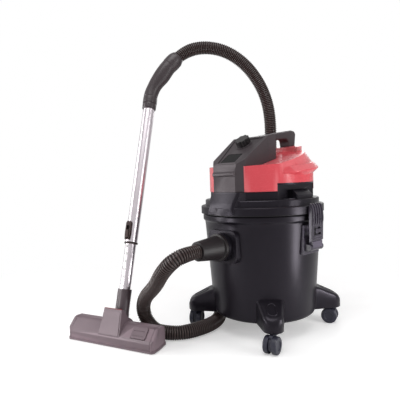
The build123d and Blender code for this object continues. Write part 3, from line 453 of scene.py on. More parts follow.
def ease(bm, width, wanted):
    """Rounds chosen edges of a solid more than the rest, where wanted tells by middle and direction."""
    back = TO_FRAME.inverted()
    chosen = []
    for e in bm.edges:
        if len(e.link_faces) == 2 and e.calc_face_angle(0.0) > PICKED_TURN:
            a, b = (back @ v.co for v in e.verts)
            if wanted((a + b) / 2, (b - a).normalized()):
                chosen.append(e)
    bmesh.ops.bevel(bm, geom=chosen, offset=width * MM, segments=PICKED_STEPS, profile=0.5, affect="EDGES",
                    clamp_overlap=True)


def dress(node, edge, steps=2, finish=None, eased=None):
    """A CAD solid made whole again, with its edges rounded in millimetres and some of them eased more."""
    bm = bmesh.new()
    bm.from_mesh(frame["nodes"][node].data)
    bmesh.ops.remove_doubles(bm, verts=bm.verts, dist=WELD)
    bmesh.ops.dissolve_limit(bm, angle_limit=math.radians(FLAT), verts=bm.verts, edges=bm.edges)
    if eased:
        ease(bm, *eased)
    return settle(node + "_moulded", bm, BODY_OF[node], SLOT_OF[node], (node,), SHARP, edge * MM, steps,
                  finish)


def bow(points, radius, steps=4, closed=False):
    """A drawn outline with its corners rounded."""
    count = len(points)
    result = []
    for k, here in enumerate(points):
        if not closed and k in (0, count - 1):
            result.append(tuple(here))
            continue
        here = Vector(here)
        before = Vector(points[k - 1]) - here
        after = Vector(points[(k + 1) % count]) - here
        reach = radius[k] if isinstance(radius, (list, tuple)) else radius
        reach = min(reach, before.length * SIDE_SHARE, after.length * SIDE_SHARE)
        if reach < LEAST_ROUND:
            result.append(tuple(here))
            continue
        a = here + before.normalized() * reach
        b = here + after.normalized() * reach
        for s in range(steps + 1):
            t = s / steps
            result.append(tuple(a * (1 - t) ** 2 + here * 2 * t * (1 - t) + b * t ** 2))
    return result


def upright(half, low, high):
    """Outline of a rectangle about the middle line, from one height to another."""
    return [(-half, low), (half, low), (half, high), (-half, high)]


def turned(profile, steps):
    """A turned shape: the closed profile of (radius, height) goes round the Z axis."""
    bm = bmesh.new()
    rows = []
    for k in range(steps):
        a = 2.0 * math.pi * k / steps
        rows.append([bm.verts.new((r * math.cos(a), r * math.sin(a), z)) for r, z in profile])
    count = len(profile)
    for k in range(steps):
        here, there = rows[k], rows[(k + 1) % steps]
        for j in range(count):
            n = (j + 1) % count
            bm.faces.new((here[j], there[j], there[n], here[n]))
    return bm


def prism(outline, low, high, plane):
    """A straight extrusion of an outline that is drawn in the plane YZ or XZ."""
    bm = bmesh.new()
    add_prism(bm, outline, low, high, plane)
    return bm


def add_prism(bm, outline, low, high, plane):
    ends = []
    for w in (low, high):
        ring = [(w, u, v) if plane == "YZ" else (u, w, v) for u, v in outline]
        ends.append([bm.verts.new(p) for p in ring])
    count = len(outline)
    bm.faces.new(list(reversed(ends[0])))
    bm.faces.new(ends[1])
    for k in range(count):
        n = (k + 1) % count
        bm.faces.new((ends[0][k], ends[0][n], ends[1][n], ends[1][k]))


def loft(rings, ends=True, bm=None, loop=False):
    """A skin over rings of points that all have the same count, with flat ends or joined in a loop."""
    bm = bm or bmesh.new()
    rows = [[bm.verts.new(p) for p in ring] for ring in rings]
    count = len(rings[0])
    pairs = list(zip(rows, rows[1:]))
    if loop:
        pairs.append((rows[-1], rows[0]))
    for here, there in pairs:
        for k in range(count):
            n = (k + 1) % count
            bm.faces.new((here[k], here[n], there[n], there[k]))
    if ends and not loop:
        bm.faces.new(list(reversed(rows[0])))
        bm.faces.new(rows[-1])
    return bm


def follow(points, x):
    """Height of a drawn line at x."""
    for (x0, z0), (x1, z1) in zip(points, points[1:]):
        if x <= x1:
            return z0 + (z1 - z0) * (x - x0) / max(x1 - x0, TINY)
    return points[-1][1]


def flipped(bm):
    """The same shape on the other side of the vacuum."""
    bm.transform(Matrix.Scale(-1.0, 4, (1.0, 0.0, 0.0)))
    return bm


def trim(piece, bm):
    """Cuts a bmesh drawn in millimetres out of a piece, and applies the cut."""
    bm.transform(TO_FRAME)
    bmesh.ops.recalc_face_normals(bm, faces=bm.faces)
    mesh = mesh_of("cutter", bm)
    cutter = placed("cutter", mesh)
    cut = piece.modifiers.new("cut", "BOOLEAN")
    cut.object = cutter
    cut.operation = "DIFFERENCE"
    cut.solver = "EXACT"
    done = worked_out(piece)
    piece.modifiers.remove(cut)
    old = piece.data
    piece.data = done
    bpy.data.meshes.remove(old)
    bpy.data.objects.remove(cutter)
    bpy.data.meshes.remove(mesh)
    smooth_shaded(done, SHARP)


def smooth_line(name, route):
    """Points along one smooth spline through a route."""
    curve = bpy.data.curves.new(name, "CURVE")
    curve.dimensions = "3D"
    curve.resolution_u = 24
    spline = curve.splines.new("NURBS")
    spline.points.add(len(route) - 1)
    for point, place in zip(spline.points, route):
        point.co = (*spot(*place), 1.0)
    spline.order_u = 3
    spline.use_endpoint_u = True
    holder = placed(name, curve)
    mesh = worked_out(holder)
    points = [v.co.copy() for v in mesh.vertices]
    bpy.data.meshes.remove(mesh)
    bpy.data.objects.remove(holder)
    bpy.data.curves.remove(curve)
    return points


def walk(points, gap):
    """Places and directions at even distances along points."""
    places = []
    left = 0.0
    for a, b in zip(points, points[1:]):
        run = (b - a).length
        if run < TINY:
            continue
        ahead = (b - a) / run
        s = left
        while s < run:
            places.append((a + ahead * s, ahead))
            s += gap
        left = s - run
    places.append((points[-1], (points[-1] - points[-2]).normalized()))
    return places


def tube_rings(places, radius_at, count, swell=None, towards=None):
    """Rings of points about places, carried along without twist, with a swelling towards one side."""
    rings = []
    side = None
    for k, (here, ahead) in enumerate(places):
        if side is None:
            side = ahead.orthogonal().normalized()
        side = (side - ahead * side.dot(ahead)).normalized()
        up = ahead.cross(side)
        r = radius_at(k)
        ring = []
        for j in range(count):
            a = 2.0 * math.pi * j / count
            out = side * math.cos(a) + up * math.sin(a)
            more = swell(k) * max(0.0, out.dot(towards)) ** 2 if swell else 0.0
            ring.append(here + out * (r + more))
        rings.append(ring)
    return rings


# Camera for a frame of 400 by 400 pixels, with angles in degrees and the eye in millimetres
FRAME_PIXELS = 400.0
FOCAL_PIXELS = 420.33
SENSOR_WIDTH = 36.0
EYE_AROUND = 38.9
EYE_FAR = 1212.4
EYE_HEIGHT = 431.9
HEADING = 47.2
LOOK_DOWN = 3.15
ROLL = -2.0

# Lamps as place, width and height in metres, and watts; the low strips draw the drum's tall highlights
LAMPS = {
    "overhead lamp": ((0.5, -0.7, 2.4), 1.6, 1.6, 24.0),
    "left strip": ((-1.69, -1.57, 0.85), 0.50, 1.7, 22.0),
    "right strip": ((2.25, 0.50, 0.80), 0.30, 1.7, 11.0),
    "left low strip": ((-0.21, -0.78, 0.20), 0.12, 0.36, 1.6),
    "right low strip": ((0.66, 0.24, 0.17), 0.12, 0.32, 1.3),
    "rear lamp": ((-0.9, 2.1, 1.5), 1.2, 1.2, 12.0),
}
LAMPS_AIM = Vector((AXIS_X, AXIS_Y, 0.3))

# White room: strength of its light, and how much of its white the gloss shows
ROOM_LIGHT = 0.34
ROOM_IN_GLOSS = 0.28

# Floor: half its side and the ring where it fades to white, in metres, and its faint glow to the camera
FLOOR_HALF = 9.0
FADE_FROM = 0.75
FADE_TO = 1.25
FLOOR_GLOW = 0.34


class VACUUM_OT_stage(bpy.types.Operator):
    """Floor, soft lamps, white surroundings and the camera"""

    bl_idname = "vacuum.stage"
    bl_label = "Stage"

    def execute(self, context):
        scene = context.scene
        scene.view_settings.view_transform = "Standard"
        self.camera(scene)
        self.floor()
        self.surroundings(scene)
        for name, setup in LAMPS.items():
            self.lamp(name, *setup)
        return {"FINISHED"}

    def camera(self, scene):
        camera = bpy.data.cameras.new("camera")
        camera.sensor_width = SENSOR_WIDTH
        camera.lens = FOCAL_PIXELS / FRAME_PIXELS * SENSOR_WIDTH
        camera.clip_start = 0.05
        camera.clip_end = 50.0
        view = placed("camera", camera)
        around = math.radians(EYE_AROUND)
        heading = math.radians(HEADING)
        down = math.radians(LOOK_DOWN)
        roll = math.radians(ROLL)
        ahead = Vector((-math.sin(heading), math.cos(heading), 0.0))
        right = Vector((math.cos(heading), math.sin(heading), 0.0))
        up = Vector((0.0, 0.0, 1.0))
        look = ahead * math.cos(down) - up * math.sin(down)
        top = up * math.cos(down) + ahead * math.sin(down)
        rolled_right = right * math.cos(roll) + top * math.sin(roll)
        rolled_top = top * math.cos(roll) - right * math.sin(roll)
        facing = Matrix((rolled_right, rolled_top, -look)).transposed().to_4x4()
        eye = spot(math.sin(around) * EYE_FAR, -math.cos(around) * EYE_FAR, EYE_HEIGHT)
        view.matrix_world = Matrix.Translation(eye) @ facing
        scene.camera = view

    def floor(self):
        bm = bmesh.new()
        bmesh.ops.create_grid(bm, x_segments=8, y_segments=8, size=FLOOR_HALF)
        mesh = mesh_of("floor", bm)
        floor = placed("floor", mesh)
        p = start("pale floor")
        where = p.place()
        ray = p.ray("Is Camera Ray")
        away = p.make("ShaderNodeVectorMath", {"operation": "LENGTH"}, {0: where}, "Value")
        grain = p.noise(where, scale=3.0, detail=3.0)
        tone = p.blend(grain, (0.80, 0.80, 0.80, 1.0), (0.82, 0.82, 0.82, 1.0))
        matt = p.make("ShaderNodeBsdfDiffuse", {}, {"Color": tone})
        glow = p.make("ShaderNodeEmission", {}, {"Color": (1.0, 0.99, 0.99, 1.0), "Strength": FLOOR_GLOW})
        both = p.make("ShaderNodeAddShader", {}, {0: matt, 1: glow})
        near = p.make("ShaderNodeMixShader", {}, {0: ray, 1: matt, 2: both})
        white = p.make("ShaderNodeEmission", {}, {"Color": WHITE, "Strength": 1.0})
        fade = p.remap(away, FADE_FROM, FADE_TO) * ray
        shown = p.make("ShaderNodeMixShader", {}, {0: fade, 1: near, 2: white})
        p.make("ShaderNodeOutputMaterial", {}, {0: shown})
        mesh.materials.append(p.owner)

    def surroundings(self, scene):
        scene.world = bpy.data.worlds.new("white room")
        p = Paint(scene.world)
        gloss = p.ray("Is Glossy Ray") * ROOM_IN_GLOSS
        seen = p.ray("Is Camera Ray") + gloss + p.ray("Is Transmission Ray")
        soft = p.make("ShaderNodeBackground", {}, {"Color": WHITE, "Strength": ROOM_LIGHT})
        white = p.make("ShaderNodeBackground", {}, {"Color": WHITE, "Strength": 1.0})
        shown = p.make("ShaderNodeMixShader", {}, {0: seen, 1: soft, 2: white})
        p.make("ShaderNodeOutputWorld", {}, {0: shown})

    def lamp(self, name, place, wide, tall, power):
        light = bpy.data.lights.new(name, "AREA")
        light.shape = "RECTANGLE"
        light.size = wide
        light.size_y = tall
        light.energy = power
        lamp = placed(name, light)
        lamp.location = place
        lamp.visible_camera = False
        aim = LAMPS_AIM - lamp.location
        lamp.rotation_euler = aim.to_track_quat("-Z", "Y").to_euler()


# Hose route in millimetres from the inlet, over the floor and up behind the drum, to the grip
HOSE_ROUTE = [
    (0, -237, 248), (0, -284, 248), (-15, -321, 234), (-54, -326, 198), (-108, -306, 154),
    (-180, -294, 106), (-196, -287, 58), (-162, -279, 18), (-117, -266, 18), (-86, -237, 18),
    (-76, -192, 18), (-76, -147, 18), (-89, -101, 18), (-120, -60, 18), (-158, -14, 22),
    (-188, 44, 58), (-195, 98, 122), (-179, 142, 205), (-151, 173, 292), (-119, 187, 381),
    (-97, 178, 468), (-86, 163, 540), (-82, 159, 603), (-87, 153, 664), (-100, 132, 725),
    (-124, 93, 784), (-157, 38, 824), (-194, -23, 834), (-226.5, -78.5, 815.1), (-242.9, -106.8, 783.2),
]

# Share of the groove's depth at each sample along one ring, from crest to groove
RING_SHAPE = (0.0, 0.0, 0.30, 1.0, 1.0, 0.30)
HOSE_AROUND = 28

# Outside the cuffs the rings rise over the hose: the rise, the cuffs' cover and the run-in, in metres
RING_RISE = 0.0015
CUFF_COVER = 0.030
RISE_RUN = 0.040


class VACUUM_OT_hose(bpy.types.Operator):
    """Corrugated hose from the inlet round the drum to the hand grip"""

    bl_idname = "vacuum.hose"
    bl_label = "Hose"

    def execute(self, context):
        sizes = context.scene.vacuum_sizes
        line = smooth_line("hose line", HOSE_ROUTE)
        samples = len(RING_SHAPE)
        step = sizes.hose_pitch / samples
        places = walk(line, step)
        last = len(places) - 1
        radius = sizes.hose_diameter / 2

        def radius_at(k):
            clear_of_cuff = min(k, last - k) * step - CUFF_COVER
            rise = RING_RISE * min(1.0, max(0.0, clear_of_cuff / RISE_RUN))
            return radius + rise - sizes.hose_depth * RING_SHAPE[k % samples]

        rings = tube_rings(places, radius_at, HOSE_AROUND)
        for ring in rings:
            for point in ring:
                point.z = max(point.z, 0.0)
        piece = settle("hose_rings", loft(rings), "drum", "hose_plastic", ("hose",), smooth=80.0)
        return {"FINISHED"}


# Drum as (radius, height), up the outside and down the inside; a turned solid starts at NEAR_AXIS
NEAR_AXIS = 0.2
DRUM_FOOT_R = 143.0
DRUM_TOP_R = 161.0
DRUM_FLOOR = 46.0
DRUM_SHOULDER = 300.0
DRUM_LINE = [
    (NEAR_AXIS, DRUM_FLOOR), (DRUM_FOOT_R, DRUM_FLOOR), (DRUM_TOP_R, DRUM_SHOULDER), (162.5, 308),
    (166.5, 312), (166.5, 324), (164.5, 327), (157.2, 327), (157.2, 304), (157.4, DRUM_SHOULDER),
    (139.6, 49.5), (NEAR_AXIS, 49.5),
]
DRUM_ROUND = [0, 14, 6, 4, 2.5, 2, 2, 1.5, 3, 3, 10, 0]


def drum_radius(z):
    return DRUM_FOOT_R + (DRUM_TOP_R - DRUM_FOOT_R) * (z - DRUM_FLOOR) / (DRUM_SHOULDER - DRUM_FLOOR)


class VACUUM_OT_drum(bpy.types.Operator):
    """Drum shell, inlet port and deflector"""

    bl_idname = "vacuum.drum"
    bl_label = "Drum"

    def execute(self, context):
        steps = context.scene.vacuum_sizes.round_steps * 5 // 4
        bm = turned(bow(DRUM_LINE, DRUM_ROUND, 5), steps)
        keep("drum_skin", bm, "drum", "drum_plastic", ("drum_shell",), smooth=60.0)
        dress("inlet_port", 2.2, 3)
        dress("inlet_deflector", 0.6)
        return {"FINISHED"}


# Caster foot, drawn with the drum's axis at the origin and the foot along X
FOOT_TOP = bow([(118, 118), (150, 112), (202, 88), (212, 82), (218, 72)], 12.0, 5)
FOOT_LOW = 50.0
FOOT_CHAMFER = 0.8
FOOT_EDGE = 9.0
FOOT_EDGE_STEPS = 5
FOOT_WALL = 4.0
NOSE_AT = 191.0
NOSE_R = 26.0
NOSE_STEPS = 8
NOSE_STEP_TURN = 10.6
ROOT_AT = 128.0
ROOT_HALF = 38.0
ROOT_SPREAD = (6.0, 18.0, 30.0)
ROOT_SINK = 1.5
SIDE_STEPS = 8
FOOT_ANGLES = {"front_right": -45.0, "front_left": -135.0, "rear_right": 45.0, "rear_left": 135.0}

# Insets of the top's inner levels, and (inset, drop below the top) of the hollow under it
FOOT_TOP_INSETS = (14.0, 19.0, 23.0)
FOOT_HOLLOW = ((22.0, 5.0), (11.0, 6.0), (FOOT_WALL, 15.0))

# Raised oval on the foot's slope: its middle, straight half and radius, and its section as (out, up)
OVAL_AT = 179.0
OVAL_HALF = 8.5
OVAL_R = 11.0
OVAL_STEPS = 40
OVAL_SECTION = ((1.7, -1.0), (1.3, 0.9), (0.4, 1.3), (-0.5, 1.3), (-1.3, 0.9), (-1.7, -1.0))


def foot_ring(inset, height):
    """One level of the foot: root on the drum's wall, straight sides and a round nose."""
    half = [(0.0, y * (1.0 - inset / ROOT_HALF)) for y in ROOT_SPREAD]
    for k in range(SIDE_STEPS + 1):
        x = ROOT_AT + (NOSE_AT - ROOT_AT) * k / SIDE_STEPS
        half.append((x, ROOT_HALF - (ROOT_HALF - NOSE_R) * k / SIDE_STEPS - inset))
    for k in range(1, NOSE_STEPS + 1):
        a = math.radians(90.0 - NOSE_STEP_TURN * k)
        half.append((NOSE_AT + (NOSE_R - inset) * math.cos(a), (NOSE_R - inset) * math.sin(a)))
    ring = []
    for x, y in half + [(x, -y) for x, y in reversed(half)]:
        z = height(x if x else ROOT_AT)
        wall = math.sqrt(drum_radius(z) ** 2 - y * y) - ROOT_SINK
        ring.append((max(x, wall), y, z if x > wall else height(wall)))
    return ring


def level(z):
    """A height that is the same along the foot."""
    return lambda x: z


def below_top(drop):
    """A height that follows the foot's top line."""
    return lambda x: follow(FOOT_TOP, x) - drop


def cap_ring(bm, row):
    """Closes a mirrored ring with strips from side to side."""
    count = len(row)
    for k in range(count // 2 - 1):
        bm.faces.new((row[k], row[k + 1], row[count - 2 - k], row[count - 1 - k]))


def foot_shell():
    """Hollow foot from its inside over the lower edge, up the sides and across the top."""
    rings = [foot_ring(inset, below_top(drop)) for inset, drop in FOOT_HOLLOW]
    rings.append(foot_ring(FOOT_WALL, level(FOOT_LOW)))
    rings.append(foot_ring(FOOT_CHAMFER, level(FOOT_LOW)))
    rings.append(foot_ring(0.0, level(FOOT_LOW + FOOT_CHAMFER)))
    for k in range(FOOT_EDGE_STEPS + 1):
        a = math.radians(90.0 * k / FOOT_EDGE_STEPS)
        drop = FOOT_EDGE * (1.0 - math.sin(a))
        rings.append(foot_ring(FOOT_EDGE * (1.0 - math.cos(a)), below_top(drop)))
    for inset in FOOT_TOP_INSETS:
        rings.append(foot_ring(inset, below_top(0.0)))
    bm = loft(rings, ends=False)
    bm.verts.ensure_lookup_table()
    count = len(rings[0])
    cap_ring(bm, bm.verts[:count])
    cap_ring(bm, bm.verts[-count:])
    oval_ridge(bm)
    return bm


def oval_ridge(bm):
    """Raised oval on the slope of the foot."""
    rings = []
    for out, up in OVAL_SECTION:
        ring = []
        for k in range(OVAL_STEPS):
            a = 2.0 * math.pi * (k + 0.5) / OVAL_STEPS
            x = OVAL_AT + math.copysign(OVAL_HALF, math.cos(a)) + (OVAL_R + out) * math.cos(a)
            ring.append((x, (OVAL_R + out) * math.sin(a), follow(FOOT_TOP, x) + up))
        rings.append(ring)
    loft(rings, bm=bm, loop=True)


class VACUUM_OT_feet(bpy.types.Operator):
    """Four caster feet with their twin wheel casters"""

    bl_idname = "vacuum.feet"
    bl_label = "Feet and casters"

    def execute(self, context):
        for corner, angle in FOOT_ANGLES.items():
            keep("foot_shell_" + corner, foot_shell(), "drum", "drum_plastic", ("foot_" + corner,),
                 turn(angle, "Z"), smooth=50.0)
            dress("caster_fork_" + corner, 0.9)
            dress("caster_wheels_" + corner, 0.8)
        return {"FINISHED"}


# Latch lever on the +X side, with outlines as (distance from the axis, height)
LEVER_LINE = [(172.2, 258), (179.6, 258), (181, 300), (182.2, 316), (181.4, 336), (178.6, 348), (174, 353),
              (172.2, 351)]
LEVER_ROUND = [1.0, 3.0, 10.0, 8.0, 9.0, 5.0, 1.5, 0.4]
LEVER_HALF = 27.0
RIB_LINE = [(176, 297), (181, 298), (184.2, 308), (184.6, 318), (183.4, 337), (180.2, 350), (175, 355.4),
            (172.6, 354), (172.6, 350), (176, 344)]
RIB_ROUND = [0.4, 2.0, 5.0, 6.0, 8.0, 5.0, 1.5, 0.5, 0.5, 0.5]
RIB_COUNT = 5
RIB_GAP = 10.5
RIB_HALF = 2.3

# Slot in the shape of a C, as (along the lever's width, height), and the reach of its cutter
SLOT_LINE = [(-16, 274), (16, 274), (16, 279), (-8, 279), (-8, 289), (14, 289), (14, 294), (-16, 294)]
SLOT_FROM = 160.0
SLOT_TO = 195.0

# Low bars across the lever's foot: section as (distance from the axis, height over the bar's place)
BAR_SECTION = [(178, 0.0), (181.4, 0.6), (181.6, 2.2), (178, 2.8)]
BAR_HEIGHTS = (263.0, 268.5)
BAR_HALF = 18.0


def lever_ribs():
    """Upright ribs on the lever's upper half and two bars across its foot."""
    bm = bmesh.new()
    for k in range(RIB_COUNT):
        y = RIB_GAP * (k - (RIB_COUNT - 1) / 2)
        add_prism(bm, bow(RIB_LINE, RIB_ROUND, 3, True), y - RIB_HALF, y + RIB_HALF, "XZ")
    for height in BAR_HEIGHTS:
        section = [(x, height + z) for x, z in BAR_SECTION]
        add_prism(bm, bow(section, 0.8, 3, True), -BAR_HALF, BAR_HALF, "XZ")
    return bm


class VACUUM_OT_latches(bpy.types.Operator):
    """Side latches and their brackets"""

    bl_idname = "vacuum.latches"
    bl_label = "Latches"

    def execute(self, context):
        for side, body, same in (("right", "latch_r", lambda bm: bm), ("left", "latch_l", flipped)):
            dress("latch_bracket_" + side, 1.2)
            dress("latch_hinge_" + side, 1.0)
            plate = prism(bow(LEVER_LINE, LEVER_ROUND, 4, True), -LEVER_HALF, LEVER_HALF, "XZ")
            lever = keep("latch_lever_" + side, same(plate), body, "latch_plastic", ("latch_" + side,))
            trim(lever, same(prism(SLOT_LINE, SLOT_FROM, SLOT_TO, "YZ")))
            soften(lever, 1.2 * MM, 3)
            keep("latch_ribs_" + side, same(lever_ribs()), body, "latch_plastic", edge=0.6 * MM)
        return {"FINISHED"}


# Rounded corners lie at least this far from the middle of the head
CORNER_SIDE = 25.0


def front_corners(front, low, high, steep):
    """Picks the steep edges forward of front, on both sides and between two heights."""
    def wanted(middle, along):
        outside = middle.y < front and abs(middle.x) > CORNER_SIDE
        return outside and low < middle.z < high and abs(along.z) > steep

    return wanted


class VACUUM_OT_head(bpy.types.Operator):
    """Head base, gasket, blower port and cord gland"""

    bl_idname = "vacuum.head"
    bl_label = "Head base"

    def execute(self, context):
        bulge = front_corners(front=-140.0, low=350.0, high=388.0, steep=0.4)
        dress("head_base", 1.2, eased=(9.0, bulge))
        dress("lid_gasket", 0.5)
        dress("blower_port", 1.0)
        dress("cord_gland", 0.8)
        return {"FINISHED"}


class VACUUM_OT_cover(bpy.types.Operator):
    """Red motor cover"""

    bl_idname = "vacuum.cover"
    bl_label = "Motor cover"

    def execute(self, context):
        dress("motor_cover", 2.0, 3)
        return {"FINISHED"}


class VACUUM_OT_column(bpy.types.Operator):
    """Control column with its window and knob"""

    bl_idname = "vacuum.column"
    bl_label = "Control column"

    def execute(self, context):
        upright_front = front_corners(front=-120.0, low=0.0, high=458.0, steep=0.7)
        dress("control_column", 2.0, 3, eased=(10.0, upright_front))
        dress("panel_window", 0.3)
        dress("knob_bezel", 0.6)
        dress("power_knob", 1.4, 3, "knob_black")
        dress("rotary_switch", 0.8)
        return {"FINISHED"}


class VACUUM_OT_handle(bpy.types.Operator):
    """Carry handle"""

    bl_idname = "vacuum.handle"
    bl_label = "Carry handle"

    def execute(self, context):
        dress("carry_handle", 3.0, 3)
        return {"FINISHED"}


class VACUUM_OT_motor(bpy.types.Operator):
    """Motor, fan, filter and float inside the head"""

    bl_idname = "vacuum.motor"
    bl_label = "Motor and filter"

    def execute(self, context):
        for node in ("motor_gasket", "fan_housing", "motor_housing", "motor_rotor", "impeller",
                     "filter_cage", "float_cup", "filter_sleeve", "filter_cap"):
            dress(node, 0.6)
        return {"FINISHED"}


# Wand, drawn along Z from the neck pivot as (radius, height); a cutter stands out of its tube by CUT_OVER
LOWER_R = 15.0
UPPER_R = 17.0
UPPER_TOP = 650.0
LOWER_TUBE = [(13.6, 62), (LOWER_R, 62), (LOWER_R, 470), (13.6, 470)]
UPPER_TUBE = [(15.7, 236), (16.4, 235), (17.2, 236), (UPPER_R, 238), (UPPER_R, UPPER_TOP),
              (15.7, UPPER_TOP)]
COLLAR = [(15.4, 232), (17.4, 232), (19.0, 233.2), (19.0, 236), (18, 237.2), (17.1, 238), (15.4, 238)]
CUT_OVER = 3.0

# Height stops: dents down the front of the lower tube, each with a dark steel pad in it as painted shade
STOPS_FROM = 116.0
STOPS_TO = 460.0

# Lock housing on the front of the wand as (across, height)
LOCK_BOX = [(-7, 242), (7, 242), (9, 258), (8.4, 290), (4, 296), (0, 292), (-4, 296), (-8.4, 290),
            (-9, 258)]

# Grip from the wand's top to the hose: line, and radii as (distance along it, radius)
GRIP_HEIGHTS = (638.0, 664.0, 694.0)
ELBOW_OFF = Vector((14.05, 40.05, 98.1))
END_OFF = Vector((32.05, 71.05, 133.1))
GRIP_RADII = [(0, 19.0), (2.5, 20.3), (15, 20.8), (17.5, 19.9), (37.5, 19.9), (40, 20.8), (70, 20.4),
              (95, 21.0), (118, 22.4), (142, 23.6), (170, 23.8)]
CUFF_SPOTS = (-16.0, -4.0, 8.0, 24.0)
CUFF_RADII = [(0, 23.6), (2.5, 24.3), (15, 24.8), (27.5, 24.0), (35, 21.5), (40, 19.0)]
GRIP_STEP = 2.5
GRIP_AROUND = 40

# Thumb rest: (distance along the grip, reach, height), and the side it swells to
THUMB_REST = (112.0, 40.0, 4.5)
THUMB_SIDE = Vector((0.48, 0.52, -0.71))

# Air ring on the grip's sleeve, with the turns of its two slots
AIR_RING_R = 21.2
AIR_RING = [(20.1, 656), (21.0, 656.4), (AIR_RING_R, 658), (AIR_RING_R, 674), (21.0, 675.6), (20.1, 676)]
AIR_SLOT_TURNS = (28.0, 52.0)


def wand_point(t):
    return tuple(WAND_AT @ Vector((0.0, 0.0, t)))


def tube_cut(low, high, width, depth, around, radius):
    """A shallow slot along the tube, turned about it from the front."""
    bm = prism(upright(width / 2, low, high), -radius - CUT_OVER, -radius + depth, "XZ")
    bm.transform(WAND_AT @ turn(around, "Z"))
    return bm


def height_stops(gap, half, outer, inner):
    """Row of blocks at the dents of the lower tube."""
    bm = bmesh.new()
    low = STOPS_FROM
    while low < STOPS_TO:
        add_prism(bm, bow(upright(half, low, low + 2 * half), 3.0, 3, True), outer, inner, "XZ")
        low += gap
    bm.transform(WAND_AT)
    return bm


def grip_shape(name, route, radii, rest=None):
    """A handle whose radius follows its length, with a thumb rest at one place."""
    places = walk(smooth_line(name, route), GRIP_STEP * MM)

    def radius_at(k):
        return follow(radii, GRIP_STEP * k) * MM

    def swell(k):
        if rest is None:
            return 0.0
        at, reach, height = rest
        off = (GRIP_STEP * k - at) / reach
        return height * MM * max(0.0, 1.0 - off * off) ** 2

    return loft(tube_rings(places, radius_at, GRIP_AROUND, swell, THUMB_SIDE))


class VACUUM_OT_wand(bpy.types.Operator):
    """Telescopic wand, hand grip and hose cuffs"""

    bl_idname = "vacuum.wand"
    bl_label = "Wand and grip"

    def execute(self, context):
        sizes = context.scene.vacuum_sizes
        dress("hose_inlet_cuff", 1.2, 2, "cuff_plastic")
        dress("neck_cuff", 1.0, 2, "neck_plastic")
        steps = sizes.round_steps // 2
        tube = turned(UPPER_TUBE, steps)
        upper = keep("upper_tube", tube, "drum", "chrome_tube", ("wand_upper",), WAND_AT)
        trim(upper, tube_cut(low=598.0, high=603.0, width=5.0, depth=1.2, around=39.0, radius=UPPER_R))
        tube = turned(LOWER_TUBE, steps)
        lower = keep("lower_tube", tube, "lower_wand", "chrome_tube", ("wand_lower",), WAND_AT)
        gap = sizes.dent_gap / MM
        trim(lower, height_stops(gap, half=4.6, outer=-18.0, inner=-13.9))
        # Dark steel pads on the dent floors are painted shade that makes the dents show
        dent_shade_pads = height_stops(gap, half=4.2, outer=-14.35, inner=-13.8)
        keep("height_stops", dent_shade_pads, "lower_wand", "chrome_tube", finish="motor_steel")
        trim(lower, tube_cut(low=112.0, high=460.0, width=3.0, depth=0.9, around=56.0, radius=LOWER_R))
        self.collar(steps)
        self.grip(steps)
        return {"FINISHED"}

    def collar(self, steps):
        """Thin ring at the end of the upper tube with the lock housing in front."""
        ring = turned(bow(COLLAR, 0.8, 3, True), steps)
        keep("collar_ring", ring, "drum", "hose_plastic", ("wand_collar",), WAND_AT)
        box = prism(bow(LOCK_BOX, 2.5, 4, True), low=-24.0, high=-16.2, plane="XZ")
        housing = keep("lock_housing", box, "drum", "hose_plastic", (), WAND_AT)
        recess = prism(upright(half=4.7, low=246.0, high=282.0), low=-40.0, high=-20.0, plane="XZ")
        recess.transform(WAND_AT)
        trim(housing, recess)
        soften(housing, 0.8 * MM, 2)
        dress("lock_button", 0.8)

    def grip(self, steps):
        """Sleeve on the tube, bend, body that widens towards the hose and the hose's end."""
        root = Vector(wand_point(UPPER_TOP))
        elbow = root + ELBOW_OFF
        end = root + END_OFF
        ahead = (end - elbow).normalized()
        route = [*(wand_point(t) for t in GRIP_HEIGHTS), tuple(elbow), tuple(end)]
        body = grip_shape("grip line", route, GRIP_RADII, THUMB_REST)
        settle("grip_body", body, "drum", "hose_plastic", ("hand_grip",), smooth=50.0,
               finish="grip_plastic")
        bell = grip_shape("end line", [tuple(end + ahead * t) for t in CUFF_SPOTS], CUFF_RADII)
        settle("hose_end_bell", bell, "drum", "hose_plastic", ("hose_end_cuff",), smooth=50.0,
               finish="grip_plastic")
        ring = turned(AIR_RING, steps)
        sleeve = keep("air_sleeve", ring, "air_valve", "hose_plastic", ("air_ring",), WAND_AT,
                      finish="grip_plastic")
        for around in AIR_SLOT_TURNS:
            trim(sleeve, tube_cut(low=663.0, high=666.0, width=5.0, depth=0.7, around=around,
                                  radius=AIR_RING_R))


# Floor tool in its own frame, front towards -Y, with sections as (Y, height)
TOOL_LINE = [(-38.5, 7.5), (-38.5, 24), (-36, 31), (-12, 54), (-4, 57), (14, 56), (28, 48), (33, 36),
             (33, 7.5)]
TOOL_MIDDLE = Vector((0.0, 30.0))

# Grooves near the tool's ends, and their outer and inner sections as shares of the tool's
GROOVES_AT = (-129.3, 128.0)
GROOVE_WIDE = 1.3
GROOVE_OUT = 1.06
GROOVE_IN = 0.972

# Raised panel on the hood, and how its half width shrinks with height
PANEL_LINE = [(-38.3, 31.5), (-21.3, 72.2), (-16.0, 86.5), (-14.6, 86), (-19.0, 71.4), (-36.2, 30.6)]
PANEL_FOOT = 31.0
PANEL_HALF = 31.0
PANEL_TAPER = 0.10

# Cap over the end of the neck's pivot, turned about X
CAP_LINE = [(NEAR_AXIS, 0), (7.5, 0), (7.5, 5.5), (5.5, 7.5), (NEAR_AXIS, 7.5)]
CAP_AT = (31.5, 12.0, 50.0)
CAP_STEPS = 48

# Long creases of the tool's front, each between two values of Y and two heights
CREASES = (((-60.0, -32.5), (20.0, 35.0)), ((-13.5, -2.5), (52.0, 70.0)))
CREASE_LENGTHWISE = 0.9


